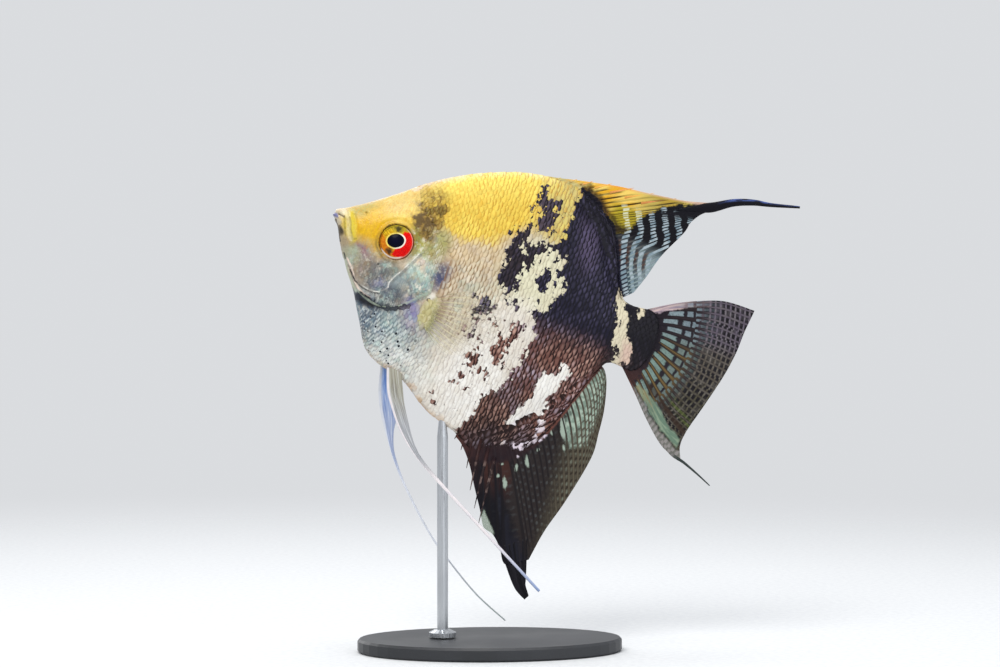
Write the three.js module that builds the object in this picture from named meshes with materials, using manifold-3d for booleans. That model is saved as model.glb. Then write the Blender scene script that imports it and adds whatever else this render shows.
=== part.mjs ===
// Freshwater angelfish, life size, as a still model that swims head-up on a plain display stand.
// Millimetres, +Z up.  The fish faces -X and its left side faces -Y.
// The fish is drawn in a frame of its own: x runs from snout to tail, z towards its back,
// and y to its right side.  That frame is then pitched head-up and lifted onto the stand.
import * as THREE from 'three';
import { mergeVertices } from 'three/addons/utils/BufferGeometryUtils.js';
import Module from 'manifold-3d';

const wasm = await Module();
wasm.setup();

// ---- Driving dimensions -------------------------------------------------------------------

const PITCH = THREE.MathUtils.degToRad(22); // head-up swimming angle
const SNOUT = new THREE.Vector3(-33.4, 0, 95.2); // the snout's place over the stand
const GAP = 0.3; // clearance between neighbouring pieces

const BODY_FRONT = -0.6;
const BODY_REAR = 72;
const BODY_STATIONS = 38;
const BODY_RING = 24;

// Profiles along the body: [distance behind the snout, value].
const BACK = [
  [-0.6, 0.5], [0, 1.5], [1, 2.2], [5, 5.1], [10, 9.1], [15, 13.5], [20, 17.2], [25, 20.2],
  [30, 22.6], [35, 24.4], [40, 25.3], [44, 24.9], [48, 23.1], [54, 18.9], [58, 14.5], [61.5, 9.7],
  [64, 6.9], [67, 6.2], [69.5, 6.5], [72, 6.9],
];
const BELLY = [
  [-0.6, 0.2], [0, -0.9], [1, -2.2], [2.4, -4.7], [5, -8.5], [9.5, -14.2], [13.3, -20], [16, -24],
  [18, -25.6], [21.5, -26.9], [25, -27.3], [28, -28.7], [33, -31.8], [37, -33.2], [42, -34],
  [46, -33], [50, -30.6], [55, -26], [60, -19.2], [64, -11.8], [66.5, -8], [69, -7.4], [72, -7.8],
];
const HALF_WIDTH = [
  [-0.6, 0.6], [0.5, 1.6], [3, 2.7], [8, 4.2], [14, 5.6], [20, 6.8], [25, 7.1], [32, 6.9],
  [42, 6.1], [52, 4.9], [60, 3.7], [66, 2.6], [72, 1.5],
];
const WIDEST_HEIGHT = [[-0.6, 0.4], [4, -0.8], [14, -2.5], [24, -5.5], [36, -5.5], [56, -2], [72, -0.3]];
const SECTION_POWER = 1.8; // how full the flank stays towards the keels
const HEAD_ROUNDNESS = 0.5; // elliptic sections at the head
const KEEL_ROUNDNESS = 0.64; // leaner sections behind it
const HEAD_SECTION_END = 12;
const KEEL_SECTION_START = 28;

const EYE_CENTRE = new THREE.Vector3(14, 4.84, -0.7);
const EYE_RADIUS = 4;
const EYE_DEPTH = 2.2; // half the eyeball's size across the head
const EYE_YAW = THREE.MathUtils.degToRad(12); // the eyes look a little forward, as the head narrows

const GILL_PLATE = 1.3; // thickness of a gill cover
const PRISM_HALF_SPAN = 20; // region cutters pass right through the fish
const CUTTER_REACH = 100; // and run past its outline

const FIN_ROOT_THICKNESS = 1.2;
const FIN_EDGE_THICKNESS = 0.55;
const FIN_THINNING = 1.6; // a web is down to its edge thickness at 1 / 1.6 of the way out
const PELVIC_ROOT_THICKNESS = 1;
const FILAMENT_THICKNESS = 0.7;
const PELVIC_THINNING = 3;
const PECTORAL_ROOT_THICKNESS = 0.9;
const PECTORAL_ROOT = new THREE.Vector2(25.6, 6.3); // how far back and out on the flank it is hinged
const PECTORAL_SPREAD = THREE.MathUtils.degToRad(24); // how far it stands out from the flank
const PECTORAL_CAMBER = 0.9;

const BASE_LENGTH = 58;
const BASE_WIDTH = 38;
const BASE_HEIGHT = 3;
const BASE_CHAMFER = 0.5;
const ROD_X = -10.4;
const ROD_RADIUS = 1.2;
const ROD_TIP_RADIUS = 0.7;
const ROD_TIP_LENGTH = 5;
const ROD_ENTRY = 2.2; // how far the rod's tip reaches into the belly
const COLLAR_RADIUS = 3;
const COLLAR_HEIGHT = 1.6;
const COLLAR_RIM = 0.6; // share of the collar's height below its sloping top
const COLLAR_TOP_STEP = 0.5;

// ---- Small tools --------------------------------------------------------------------------

// A smooth line through [x, y] points, read at x.
function smoothLine(points) {
  const slope = (i) => {
    const before = points[Math.max(i - 1, 0)];
    const after = points[Math.min(i + 1, points.length - 1)];
    return (after[1] - before[1]) / (after[0] - before[0]);
  };
  return (x) => {
    let i = 0;
    while (i < points.length - 2 && x > points[i + 1][0]) i += 1;
    const [x0, y0] = points[i];
    const [x1, y1] = points[i + 1];
    const span = x1 - x0;
    const t = THREE.MathUtils.clamp((x - x0) / span, 0, 1);
    const s = 1 - t;
    const fromStart = s * s * ((1 + 2 * t) * y0 + t * span * slope(i));
    const fromEnd = t * t * ((1 + 2 * s) * y1 - s * span * slope(i + 1));
    return fromStart + fromEnd;
  };
}

// A smooth open curve through [x, z] points.
function smoothCurve(points) {
  return new THREE.SplineCurve(points.map(([x, z]) => new THREE.Vector2(x, z)));
}

// A closed geometry becomes a solid that can be cut.
function toSolid(geometry) {
  const bare = geometry.clone();
  bare.deleteAttribute('normal');
  bare.deleteAttribute('uv');
  const merged = mergeVertices(bare, 1e-4);
  return new wasm.Manifold(new wasm.Mesh({
    numProp: 3,
    vertProperties: merged.attributes.position.array,
    triVerts: Uint32Array.from(merged.index.array),
  }));
}

function toGeometry(solid) {
  const mesh = solid.getMesh();
  const geometry = new THREE.BufferGeometry();
  geometry.setAttribute('position', new THREE.BufferAttribute(mesh.vertProperties, 3));
  geometry.setIndex(new THREE.BufferAttribute(mesh.triVerts, 1));
  geometry.computeVertexNormals();
  return geometry;
}

// The same shape on the fish's other side.
function mirrored(geometry) {
  const copy = geometry.clone().scale(1, -1, 1);
  const index = copy.index.array;
  for (let i = 0; i < index.length; i += 3) {
    const swap = index[i];
    index[i] = index[i + 1];
    index[i + 1] = swap;
  }
  copy.computeVertexNormals();
  return copy;
}

// Moves every vertex of a geometry by a function from Vector3 to Vector3.
function reshape(geometry, move) {
  const position = geometry.attributes.position;
  const point = new THREE.Vector3();
  for (let i = 0; i < position.count; i += 1) {
    point.fromBufferAttribute(position, i);
    position.setXYZ(i, ...move(point).toArray());
  }
  return geometry;
}

// A prism through the whole fish with the given [x, z] outline.
function regionPrism(outline) {
  const shape = new THREE.Shape(outline.map(([x, z]) => new THREE.Vector2(x, z)));
  const prism = new THREE.ExtrudeGeometry(shape, { depth: 2 * PRISM_HALF_SPAN, bevelEnabled: false });
  prism.rotateX(Math.PI / 2);
  prism.translate(0, PRISM_HALF_SPAN, 0);
  return toSolid(prism);
}

// ---- The body -----------------------------------------------------------------------------

const backAt = smoothLine(BACK);
const bellyAt = smoothLine(BELLY);
const halfWidthAt = smoothLine(HALF_WIDTH);
const widestHeightAt = smoothLine(WIDEST_HEIGHT);

// The body's half width at a distance behind the snout and a height, grown or shrunk all round.
function sectionHalfWidth(x, heightShare, grow) {
  const leanness = THREE.MathUtils.smoothstep(x, HEAD_SECTION_END, KEEL_SECTION_START);
  const roundness = THREE.MathUtils.lerp(HEAD_ROUNDNESS, KEEL_ROUNDNESS, leanness);
  return (halfWidthAt(x) + grow) * (1 - heightShare ** SECTION_POWER) ** roundness;
}

// The whole body, snout to tail root, as a sphere whose rings are drawn out into body sections.
function bodySolid(grow) {
  const sphere = new THREE.SphereGeometry(1, BODY_RING, BODY_STATIONS);
  reshape(sphere, (point) => {
    const ringRadius = Math.hypot(point.x, point.z);
    const up = ringRadius > 1e-6 ? point.z / ringRadius : 0;
    const side = Math.abs(point.x) > 1e-6 ? Math.sign(point.x) : 0;
    const middle = (BODY_FRONT + BODY_REAR) / 2;
    const x = middle - point.y * (middle - BODY_FRONT);
    const endClose = ringRadius > 1e-6 ? 1 : 0;
    const centre = widestHeightAt(x);
    const reach = up > 0 ? backAt(x) + grow - centre : centre - bellyAt(x) + grow;
    const halfWidth = sectionHalfWidth(x, Math.abs(up), grow) * side * endClose;
    return new THREE.Vector3(x - point.y * grow, halfWidth, centre + up * reach * endClose);
  });
  return toSolid(sphere);
}

const body = bodySolid(0);
const bodyClearance = bodySolid(GAP);
const gillFloor = bodySolid(-GILL_PLATE);
const gillFloorClearance = bodySolid(-GILL_PLATE - GAP);

// ---- Parting lines ------------------------------------------------------------------------

// The head ends along the rear edge of the gill cover and its lower rim.
const HEAD_EDGE = [
  [20.5, 22], [21.2, 14], [22.4, 8], [24.2, 4], [25, 0.5], [24.8, -3], [23.7, -7.4],
  [21.2, -11.6], [17.6, -14], [14, -15], [11.5, -14.6], [8.6, -13.2], [4, -17],
];
// The cheek's rear ridge, where the gill cover starts.
const CHEEK_RIDGE = [[14.2, -11.4], [15.8, -8.4], [17.4, -4.8], [18.4, -1], [18.9, 2.6]];
const MOUTH_CORNER = [2.7, -2.8];

const headRegion = regionPrism([[-6, 22], ...HEAD_EDGE, [-6, -17]]);
const behindHead = regionPrism([
  ...HEAD_EDGE.map(([x, z]) => [x + GAP, z - GAP]), [4, -40], [80, -40], [80, 34], [20.8, 34],
]);
const tailRegion = regionPrism([[64.6, 20], [80, 20], [80, -20], [66.6, -20], [66.2, -8], [65.2, 0]]);
const aheadOfTail = regionPrism([
  [0, 40], [64.3, 40], [64.3, 20], [64.9, 0], [65.9, -8], [66.3, -20], [66.3, -40], [0, -40],
]);
const gillRegion = regionPrism([
  [18.9, 2.6], [21.2, 4.6], [23.6, 3.4], [24.7, 0.4], [24.5, -3], [23.4, -7.3], [20.9, -11.4],
  [17.4, -13.6], [13.9, -14.6], [13.4, -13], ...CHEEK_RIDGE.slice(0, -1),
]);
const gillPocket = regionPrism([
  [18.6, 2.8], [21.2, 5.1], [24, 3.9], [26, 4], [26, -9], [21.4, -12.5], [17.6, -16], [13.4, -16],
  [13, -12.8], ...CHEEK_RIDGE.slice(0, -1).map(([x, z]) => [x - GAP, z]),
]);
const lowerJawRegion = regionPrism([
  [-4, -0.2], [0.9, -0.5], MOUTH_CORNER, [5.4, -6.8], [8.2, -11.2], [8.4, -13], [3, -14], [-4, -8],
]);
const upperJawRegion = regionPrism([[-4, 3.6], [0.9, 3.2], [2.9, 0.8], [3.1, -2], [1.1, 0], [-4, 0.2]]);
const snoutCut = regionPrism([
  [-4, 6], [0.9, 3.5], [3.2, 1], [3.4, -2.4], [5.7, -6.7], [8.5, -11.2], [8.8, -13.4], [3, -16], [-4, -10],
]);

// ---- Head, eyes and gill covers -----------------------------------------------------------

function eyeGeometry(side, grow) {
  const eye = new THREE.SphereGeometry(1, 16, 10);
  eye.scale(EYE_RADIUS + grow, EYE_RADIUS + grow, EYE_DEPTH + grow);
  eye.rotateX(Math.PI / 2);
  eye.rotateZ(side * EYE_YAW);
  eye.translate(EYE_CENTRE.x, side * EYE_CENTRE.y, EYE_CENTRE.z);
  return eye;
}

const wholeHead = body.intersect(headRegion);
const eyeSockets = toSolid(eyeGeometry(1, GAP)).add(toSolid(eyeGeometry(-1, GAP)));
const head = wholeHead
  .subtract(snoutCut)
  .subtract(gillPocket.subtract(gillFloorClearance))
  .subtract(eyeSockets);
const lowerJaw = body.intersect(lowerJawRegion);
const upperJaw = body.intersect(upperJawRegion);
const gillCovers = wholeHead.intersect(gillRegion).subtract(gillFloor);
const leftHalf = new THREE.BoxGeometry(CUTTER_REACH, PRISM_HALF_SPAN, CUTTER_REACH);
const leftHalfSpace = toSolid(leftHalf.translate(0, -PRISM_HALF_SPAN / 2, 0));
const gillCoverLeft = gillCovers.intersect(leftHalfSpace);

// ---- Fins ---------------------------------------------------------------------------------

// A thin plate: place(across, along) gives its middle surface and thickness(along) its thickness,
// with both shares running from 0 to 1.
function plateGeometry(acrossSteps, alongSteps, place, thickness) {
  const plate = new THREE.BoxGeometry(1, 1, 1, acrossSteps, 1, alongSteps);
  return reshape(plate, (point) => {
    const along = point.z + 0.5;
    const middle = place(point.x + 0.5, along);
    middle.y += point.y * thickness(along);
    return middle;
  });
}

// A smooth line through [x, z] points, read from 0 to 1.
function read(points) {
  const curve = smoothCurve(points);
  return (share) => curve.getPoint(THREE.MathUtils.clamp(share, 0, 1));
}

// Two smooth lines that meet in a corner, the first taking the given share of the whole.
function corneredEdge(firstPoints, secondPoints, share) {
  const first = read(firstPoints);
  const second = read(secondPoints);
  return (s) => (s < share ? first(s / share) : second((s - share) / (1 - share)));
}

// A fin web between its root, its free margin and its first and last rays, all read from 0 to 1.
// sway(x, z) is how far it stands off the fish's middle plane.
function webPlace(root, margin, firstRay, lastRay, sway) {
  return (across, along) => {
    const between = (from, to) => from.clone().lerp(to, along);
    const point = between(root(across), margin(across));
    const firstBow = firstRay(along).sub(between(root(0), margin(0)));
    const lastBow = lastRay(along).sub(between(root(1), margin(1)));
    point.addScaledVector(firstBow, 1 - across).addScaledVector(lastBow, across);
    return new THREE.Vector3(point.x, sway(point.x, point.y), point.y);
  };
}

// A ribbon behind a leading edge, for a feeler or the streamer at a fin's tip.
function ribbonPlace(leadingPoints, widthAt, sway) {
  const leading = smoothCurve(leadingPoints);
  return (across, along) => {
    const point = leading.getPoint(along);
    const ahead = leading.getTangent(along);
    const back = widthAt(along) * (1 - across);
    const x = point.x - ahead.y * back;
    const z = point.y + ahead.x * back;
    return new THREE.Vector3(x, sway(x, z), z);
  };
}

const taper = (from, to, rate) => (along) => THREE.MathUtils.lerp(from, to, Math.min(1, along * rate));
const webThickness = taper(FIN_ROOT_THICKNESS, FIN_EDGE_THICKNESS, FIN_THINNING);
const streamerThickness = () => FIN_EDGE_THICKNESS;
const rise = (value, start, end) => THREE.MathUtils.clamp((value - start) / (end - start), 0, 1);
const WEB_STEPS = 6; // rows of facets from a fin's root to its margin

// The tall back fin, whose tip runs out into a streamer.
const DORSAL_RAYS = 26;
const DORSAL_TIP_SHARE = 17 / DORSAL_RAYS;
const dorsalSway = (x, z) => 1.8 * rise(x, 52, 94) ** 2 + 0.35 * Math.sin(x / 3.4) * rise(x, 56, 70);
const dorsalPlace = webPlace(
  read([[38, 24.4], [44, 24], [48, 22.4], [54, 18], [58, 13.6], [61.5, 8.9], [64, 6.2]]),
  corneredEdge(
    [
      [37.6, 25.5], [42, 26], [46, 27], [50, 28], [55, 29.2], [60, 30], [65, 30.9], [70, 31.9],
      [76, 33.8],
    ],
    [[76, 33.8], [75.2, 31.6], [73.8, 30], [72.6, 27.8], [72, 25], [69.3, 18.6], [67.9, 13], [66.6, 8.8]],
    DORSAL_TIP_SHARE,
  ),
  read([[38, 24.4], [37.6, 25.5]]),
  read([[64, 6.2], [66.6, 8.8]]),
  dorsalSway,
);
const dorsalStreamerPlace = ribbonPlace(
  [[67, 28], [72, 30.2], [76, 31.6], [80, 34.6], [84, 36.5], [88, 37.8], [94.2, 40]],
  smoothLine([[0, 1.6], [0.3, 2.2], [0.5, 1.7], [0.66, 1.4], [0.84, 0.9], [1, 0.5]]),
  dorsalSway,
);

// The deep fin under the tail end of the belly.
const ANAL_RAYS = 24;
const ANAL_TIP_SHARE = 11 / ANAL_RAYS;
const analSway = (x, z) => -1.6 * rise(-z, 22, 62) ** 2 + 0.3 * Math.sin(x / 3) * rise(-z, 26, 40);
const analPlace = webPlace(
  read([[65.6, -8.6], [63.4, -12], [60, -18.2], [55, -25], [50, -29.6], [46, -32], [43, -33]]),
  corneredEdge(
    [
      [67, -9.4], [68.5, -12], [70.5, -20], [71.5, -27], [71, -32], [69.5, -40], [67.8, -47],
      [66.9, -54],
    ],
    [
      [66.9, -54], [62.6, -56.9], [60, -53.9], [57.5, -51.8], [55, -51], [53, -48], [50, -43.8],
      [47, -39.4], [44, -36.2], [42, -35],
    ],
    ANAL_TIP_SHARE,
  ),
  read([[65.6, -8.6], [67, -9.4]]),
  read([[43, -33], [42, -35]]),
  analSway,
);

const analStreamerPlace = ribbonPlace(
  [[60, -53.7], [63, -57.4], [66.3, -60.9], [69.2, -62.4]],
  smoothLine([[0, 6.4], [0.33, 4.7], [0.66, 2.8], [1, 1.2]]),
  analSway,
);

// The tail fin, with a long lower point.
const CAUDAL_RAYS = 20;
const caudalSway = (x, z) => {
  const reach = rise(x, 70, 93);
  return 3.2 * reach ** 1.6 + 0.6 * Math.sin(z / 3.4) * reach;
};
const caudalPlace = webPlace(
  read([[70.4, 6.3], [71.4, 3], [71.6, 0], [71.4, -3.6], [70.4, -7.3]]),
  read([
    [93.4, 15.3], [93.2, 10.4], [93.3, 5.6], [92.7, 0.8], [91.5, -4.6], [90.3, -10], [89.3, -14.6],
    [89.2, -18], [90.6, -20.9],
  ]),
  read([[70.4, 6.3], [75.5, 9.7], [80.5, 12.4], [86.4, 14.7], [93.4, 15.3]]),
  read([[70.4, -7.3], [75.1, -11.5], [80.3, -16.3], [85.5, -20.2], [90.6, -21.7]]),
  caudalSway,
);
const caudalStreamerPlace = ribbonPlace(
  [[84, -19.2], [88, -21.3], [91.4, -22], [95, -23.1], [98.6, -24.4]],
  smoothLine([[0, 1], [0.4, 0.9], [1, 0.5]]),
  caudalSway,
);

// The pelvic fins, each a blade that runs out into a long feeler.
const PELVIC_STEPS = 28;
const pelvicThickness = taper(PELVIC_ROOT_THICKNESS, FILAMENT_THICKNESS, PELVIC_THINNING);
const leftPelvicPlace = ribbonPlace(
  [
    [22.4, -26.6], [24.2, -31], [26.6, -34.4], [29.8, -38], [33.9, -41.3], [38.3, -43.9],
    [45, -47.2], [51.7, -50.4], [59.6, -54.2], [65.5, -57], [71, -59.6],
  ],
  smoothLine([[0, 3], [0.1, 3.4], [0.2, 2.9], [0.3, 2.3], [0.4, 1.2], [0.5, 0.8], [1, 0.6]]),
  (x, z) => -1.2 - 3.6 * Math.sin(rise(-z, 26, 50) * Math.PI / 2),
);
const rightPelvicPlace = ribbonPlace(
  [
    [21, -26.2], [22.4, -31], [24.3, -35], [26.6, -38.4], [29.2, -41.9], [32.4, -45.8],
    [36.8, -50.2], [44.8, -57], [51.9, -61.6], [60, -66], [67.9, -68.9],
  ],
  smoothLine([[0, 2.6], [0.1, 4], [0.2, 3.4], [0.28, 2.2], [0.38, 0.9], [1, 0.6]]),
  (x, z) => 1.2 + 4.4 * Math.sin(rise(-z, 26, 54) * Math.PI / 2),
);

// A pectoral fin: a fan hinged on the flank behind the gill cover, held out from the body.
const PECTORAL_RAYS = 8;
function pectoralPlace() {
  const flat = webPlace(
    read([[25.6, -9.2], [26, -12], [26.2, -15.4]]),
    read([[38.6, -3.6], [41.6, -7.2], [42.2, -11], [40.8, -15], [37.4, -17.8], [33.6, -19]]),
    read([[25.6, -9.2], [31.4, -5.6], [38.6, -3.6]]),
    read([[26.2, -15.4], [29.6, -17.6], [33.6, -19]]),
    () => 0,
  );
  return (across, along) => {
    const point = flat(across, along);
    const reach = point.x - PECTORAL_ROOT.x;
    const camber = PECTORAL_CAMBER * Math.sin(along * Math.PI);
    const x = PECTORAL_ROOT.x + reach * Math.cos(PECTORAL_SPREAD);
    const outward = PECTORAL_ROOT.y + reach * Math.sin(PECTORAL_SPREAD) - camber;
    return new THREE.Vector3(x, -outward, point.z);
  };
}
const pectoralThickness = taper(PECTORAL_ROOT_THICKNESS, FIN_EDGE_THICKNESS, 1);

// A fin is cut back from the body so that its root stands just clear of it.
const clearOfBody = (solid) => solid.subtract(bodyClearance);
const webSolid = (rays, place) => toSolid(plateGeometry(rays, WEB_STEPS, place, webThickness));
const streamerSolid = (steps, place) => toSolid(plateGeometry(1, steps, place, streamerThickness));
const pelvicSolid = (place) => toSolid(plateGeometry(2, PELVIC_STEPS, place, pelvicThickness));

const dorsalWeb = webSolid(DORSAL_RAYS, dorsalPlace);
const dorsalFin = clearOfBody(dorsalWeb.add(streamerSolid(12, dorsalStreamerPlace)));
const analWeb = webSolid(ANAL_RAYS, analPlace);
const analFin = clearOfBody(analWeb.add(streamerSolid(4, analStreamerPlace)));
const caudalWeb = webSolid(CAUDAL_RAYS, caudalPlace);
const caudalFin = clearOfBody(caudalWeb.add(streamerSolid(8, caudalStreamerPlace)));
const pelvicFinLeft = clearOfBody(pelvicSolid(leftPelvicPlace));
const pelvicFinRight = clearOfBody(pelvicSolid(rightPelvicPlace));
const pectoralFan = plateGeometry(PECTORAL_RAYS, WEB_STEPS, pectoralPlace(), pectoralThickness);
const pectoralFinLeft = clearOfBody(toSolid(pectoralFan));

// ---- Trunk and tail root ------------------------------------------------------------------

// From the fish's frame to the stand's.
const pose = new THREE.Matrix4().makeRotationY(PITCH).setPosition(SNOUT);

// The height at which the upright rod meets the belly, by stepping down the belly line.
function rodTopHeight() {
  const keel = new THREE.Vector3();
  for (let x = 20; x < 60; x += 0.1) {
    keel.set(x, 0, bellyAt(x)).applyMatrix4(pose);
    if (keel.x >= ROD_X) return keel.z + ROD_ENTRY;
  }
  return keel.z;
}
const ROD_TOP = rodTopHeight();

function rodGeometry(grow) {
  const foot = BASE_HEIGHT + GAP;
  const profile = [
    [0, foot], [COLLAR_RADIUS, foot], [COLLAR_RADIUS, foot + COLLAR_HEIGHT * COLLAR_RIM],
    [ROD_RADIUS + COLLAR_TOP_STEP, foot + COLLAR_HEIGHT], [ROD_RADIUS, foot + COLLAR_HEIGHT],
    [ROD_RADIUS, ROD_TOP - ROD_TIP_LENGTH], [ROD_TIP_RADIUS, ROD_TOP], [0, ROD_TOP],
  ];
  const points = profile.map(([r, z]) => new THREE.Vector2(r > 0 ? r + grow : 0, z));
  points[points.length - 1].y += grow;
  points[points.length - 2].y += grow;
  const rod = new THREE.LatheGeometry(points, 16);
  rod.rotateX(Math.PI / 2);
  rod.translate(ROD_X, 0, 0);
  return rod;
}

const rodClearance = toSolid(rodGeometry(GAP).applyMatrix4(pose.clone().invert()));
const trunk = body.intersect(behindHead).intersect(aheadOfTail).subtract(rodClearance);
const tail = body.intersect(tailRegion);

// ---- Stand --------------------------------------------------------------------------------

function baseGeometry() {
  const outline = new THREE.Shape();
  const inset = BASE_CHAMFER;
  outline.absellipse(0, 0, BASE_LENGTH / 2 - inset, BASE_WIDTH / 2 - inset, 0, Math.PI * 2, false);
  const plate = new THREE.ExtrudeGeometry(outline, {
    depth: BASE_HEIGHT - 2 * BASE_CHAMFER,
    curveSegments: 24,
    bevelThickness: BASE_CHAMFER,
    bevelSize: BASE_CHAMFER,
    bevelSegments: 1,
  });
  plate.translate(0, 0, BASE_CHAMFER);
  return plate;
}

// ---- The finished model -------------------------------------------------------------------

const finish = (colour, roughness, metalness = 0) => (
  new THREE.MeshStandardMaterial({ color: colour, roughness, metalness })
);

function part(name, geometry, material) {
  const mesh = new THREE.Mesh(geometry, material);
  mesh.name = name;
  return mesh;
}

const fish = new THREE.Group();
fish.rotation.y = PITCH;
fish.position.copy(SNOUT);
const gillLeftGeometry = toGeometry(gillCoverLeft);
const pectoralLeftGeometry = toGeometry(pectoralFinLeft);
fish.add(
  part('head', toGeometry(head), finish(0xb99a4a, 0.4)),
  part('upper_jaw', toGeometry(upperJaw), finish(0x9a9296, 0.4)),
  part('lower_jaw', toGeometry(lowerJaw), finish(0xb8b09a, 0.4)),
  part('gill_cover_left', gillLeftGeometry, finish(0x8fa094, 0.35)),
  part('gill_cover_right', mirrored(gillLeftGeometry), finish(0x8fa094, 0.35)),
  part('eye_left', eyeGeometry(-1, 0), finish(0xc02018, 0.1)),
  part('eye_right', eyeGeometry(1, 0), finish(0xc02018, 0.1)),
  part('trunk', toGeometry(trunk), finish(0x8c8478, 0.4)),
  part('tail', toGeometry(tail), finish(0x4a3c38, 0.4)),
  part('dorsal_fin', toGeometry(dorsalFin), finish(0x8a7838, 0.5)),
  part('anal_fin', toGeometry(analFin), finish(0x3a302c, 0.5)),
  part('caudal_fin', toGeometry(caudalFin), finish(0x6a6c68, 0.5)),
  part('pelvic_fin_left', toGeometry(pelvicFinLeft), finish(0xd0cfc4, 0.45)),
  part('pelvic_fin_right', toGeometry(pelvicFinRight), finish(0xa8bfe0, 0.45)),
  part('pectoral_fin_left', pectoralLeftGeometry, finish(0xc8c49a, 0.45)),
  part('pectoral_fin_right', mirrored(pectoralLeftGeometry), finish(0xc8c49a, 0.45)),
);

const model = new THREE.Group();
model.add(
  fish,
  part('stand_base', baseGeometry(), finish(0x202226, 0.45)),
  part('stand_rod', rodGeometry(0), finish(0xb8babd, 0.3, 1)),
);

export default model;
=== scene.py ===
"""Freshwater angelfish, life size: skin, scales, eyes, fins and stand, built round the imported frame."""
import math

import bmesh
import bpy
import numpy as np
from mathutils import Matrix, Vector

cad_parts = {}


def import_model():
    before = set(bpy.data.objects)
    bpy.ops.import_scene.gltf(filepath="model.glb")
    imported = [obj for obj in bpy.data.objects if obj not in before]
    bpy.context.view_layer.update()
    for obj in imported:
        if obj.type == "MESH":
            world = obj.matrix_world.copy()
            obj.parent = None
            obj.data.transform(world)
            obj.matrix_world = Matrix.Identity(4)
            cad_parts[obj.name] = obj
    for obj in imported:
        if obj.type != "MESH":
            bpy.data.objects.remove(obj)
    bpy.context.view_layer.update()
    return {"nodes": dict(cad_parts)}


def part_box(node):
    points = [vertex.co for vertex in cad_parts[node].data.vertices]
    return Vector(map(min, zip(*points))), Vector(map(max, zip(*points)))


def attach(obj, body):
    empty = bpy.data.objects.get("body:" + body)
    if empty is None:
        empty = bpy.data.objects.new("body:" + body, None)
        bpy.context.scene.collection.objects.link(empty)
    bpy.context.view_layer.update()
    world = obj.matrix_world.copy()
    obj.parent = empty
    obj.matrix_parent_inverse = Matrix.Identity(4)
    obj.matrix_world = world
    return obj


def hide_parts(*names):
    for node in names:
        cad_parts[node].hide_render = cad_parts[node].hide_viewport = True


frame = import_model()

# ---- The fish's own frame -----------------------------------------------------------------
# Millimetres: x from snout to tail, z towards the back, y to the fish's right side.

PITCH = math.radians(22)
COS, SIN = math.cos(PITCH), math.sin(PITCH)
EYE = (14.0, 4.84, -0.7)
EYE_YAW = math.radians(12)
EYE_RADIUS = 4.0
EYE_DEPTH = 2.2


def eyes_middle():
    """The point midway between the eyes, in the stand's frame."""
    corners = [corner for side in ("left", "right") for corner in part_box("eye_" + side)]
    return sum(corners, Vector()) * 1000 / len(corners)


SNOUT_X = eyes_middle().x - EYE[0] * COS - EYE[2] * SIN
SNOUT_Z = eyes_middle().z + EYE[0] * SIN - EYE[2] * COS


def world(points):
    """Points from the fish's frame, put in the stand's frame in metres."""
    points = np.asarray(points, float)
    x, y, z = points[..., 0], points[..., 1], points[..., 2]
    placed = np.stack([SNOUT_X + x * COS + z * SIN, y, SNOUT_Z - x * SIN + z * COS], -1)
    return placed / 1000


# ---- Smooth lines -------------------------------------------------------------------------

def smooth_line(points):
    """A smooth line through [x, value] points, read at x."""
    xs, ys = np.array(points, float).T
    ends = [(ys[1] - ys[0]) / (xs[1] - xs[0]), (ys[-1] - ys[-2]) / (xs[-1] - xs[-2])]
    slopes = np.concatenate([ends[:1], (ys[2:] - ys[:-2]) / (xs[2:] - xs[:-2]), ends[1:]])

    def read(x):
        x = np.asarray(x, float)
        i = np.clip(np.searchsorted(xs, x) - 1, 0, len(xs) - 2)
        span = xs[i + 1] - xs[i]
        t = np.clip((x - xs[i]) / span, 0, 1)
        s = 1 - t
        start = s * s * ((1 + 2 * t) * ys[i] + t * span * slopes[i])
        return start + t * t * ((1 + 2 * s) * ys[i + 1] - s * span * slopes[i + 1])
    return read


def curve(points):
    """A smooth open curve through points, read from 0 to 1."""
    knots = np.array(points, float)
    last = len(knots) - 1

    def read(share):
        t = np.clip(np.asarray(share, float), 0, 1) * last
        i = np.minimum(np.floor(t).astype(int), last - 1)
        w = (t - i)[..., None]
        before, start = knots[np.maximum(i - 1, 0)], knots[i]
        end, after = knots[i + 1], knots[np.minimum(i + 2, last)]
        pull_in, pull_out = (end - before) / 2, (after - start) / 2
        cubic = (2 * start - 2 * end + pull_in + pull_out) * w ** 3
        square = (3 * end - 3 * start - 2 * pull_in - pull_out) * w ** 2
        return cubic + square + pull_in * w + start
    return read


def smoothstep(value, start, end):
    t = np.clip((value - start) / (end - start), 0, 1)
    return t * t * (3 - 2 * t)


def rise(value, start, end):
    return np.clip((value - start) / (end - start), 0, 1)


def lerp(start, end, share):
    return start + (end - start) * share


def path_distance(x, z, path):
    """How far each point lies from an open path of straight runs, in the side view."""
    nearest = np.full(np.shape(x), 1e9)
    for (x0, z0), (x1, z1) in zip(path[:-1], path[1:]):
        dx, dz = x1 - x0, z1 - z0
        t = np.clip(((x - x0) * dx + (z - z0) * dz) / (dx * dx + dz * dz), 0, 1)
        nearest = np.minimum(nearest, np.hypot(x - x0 - t * dx, z - z0 - t * dz))
    return nearest


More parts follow.
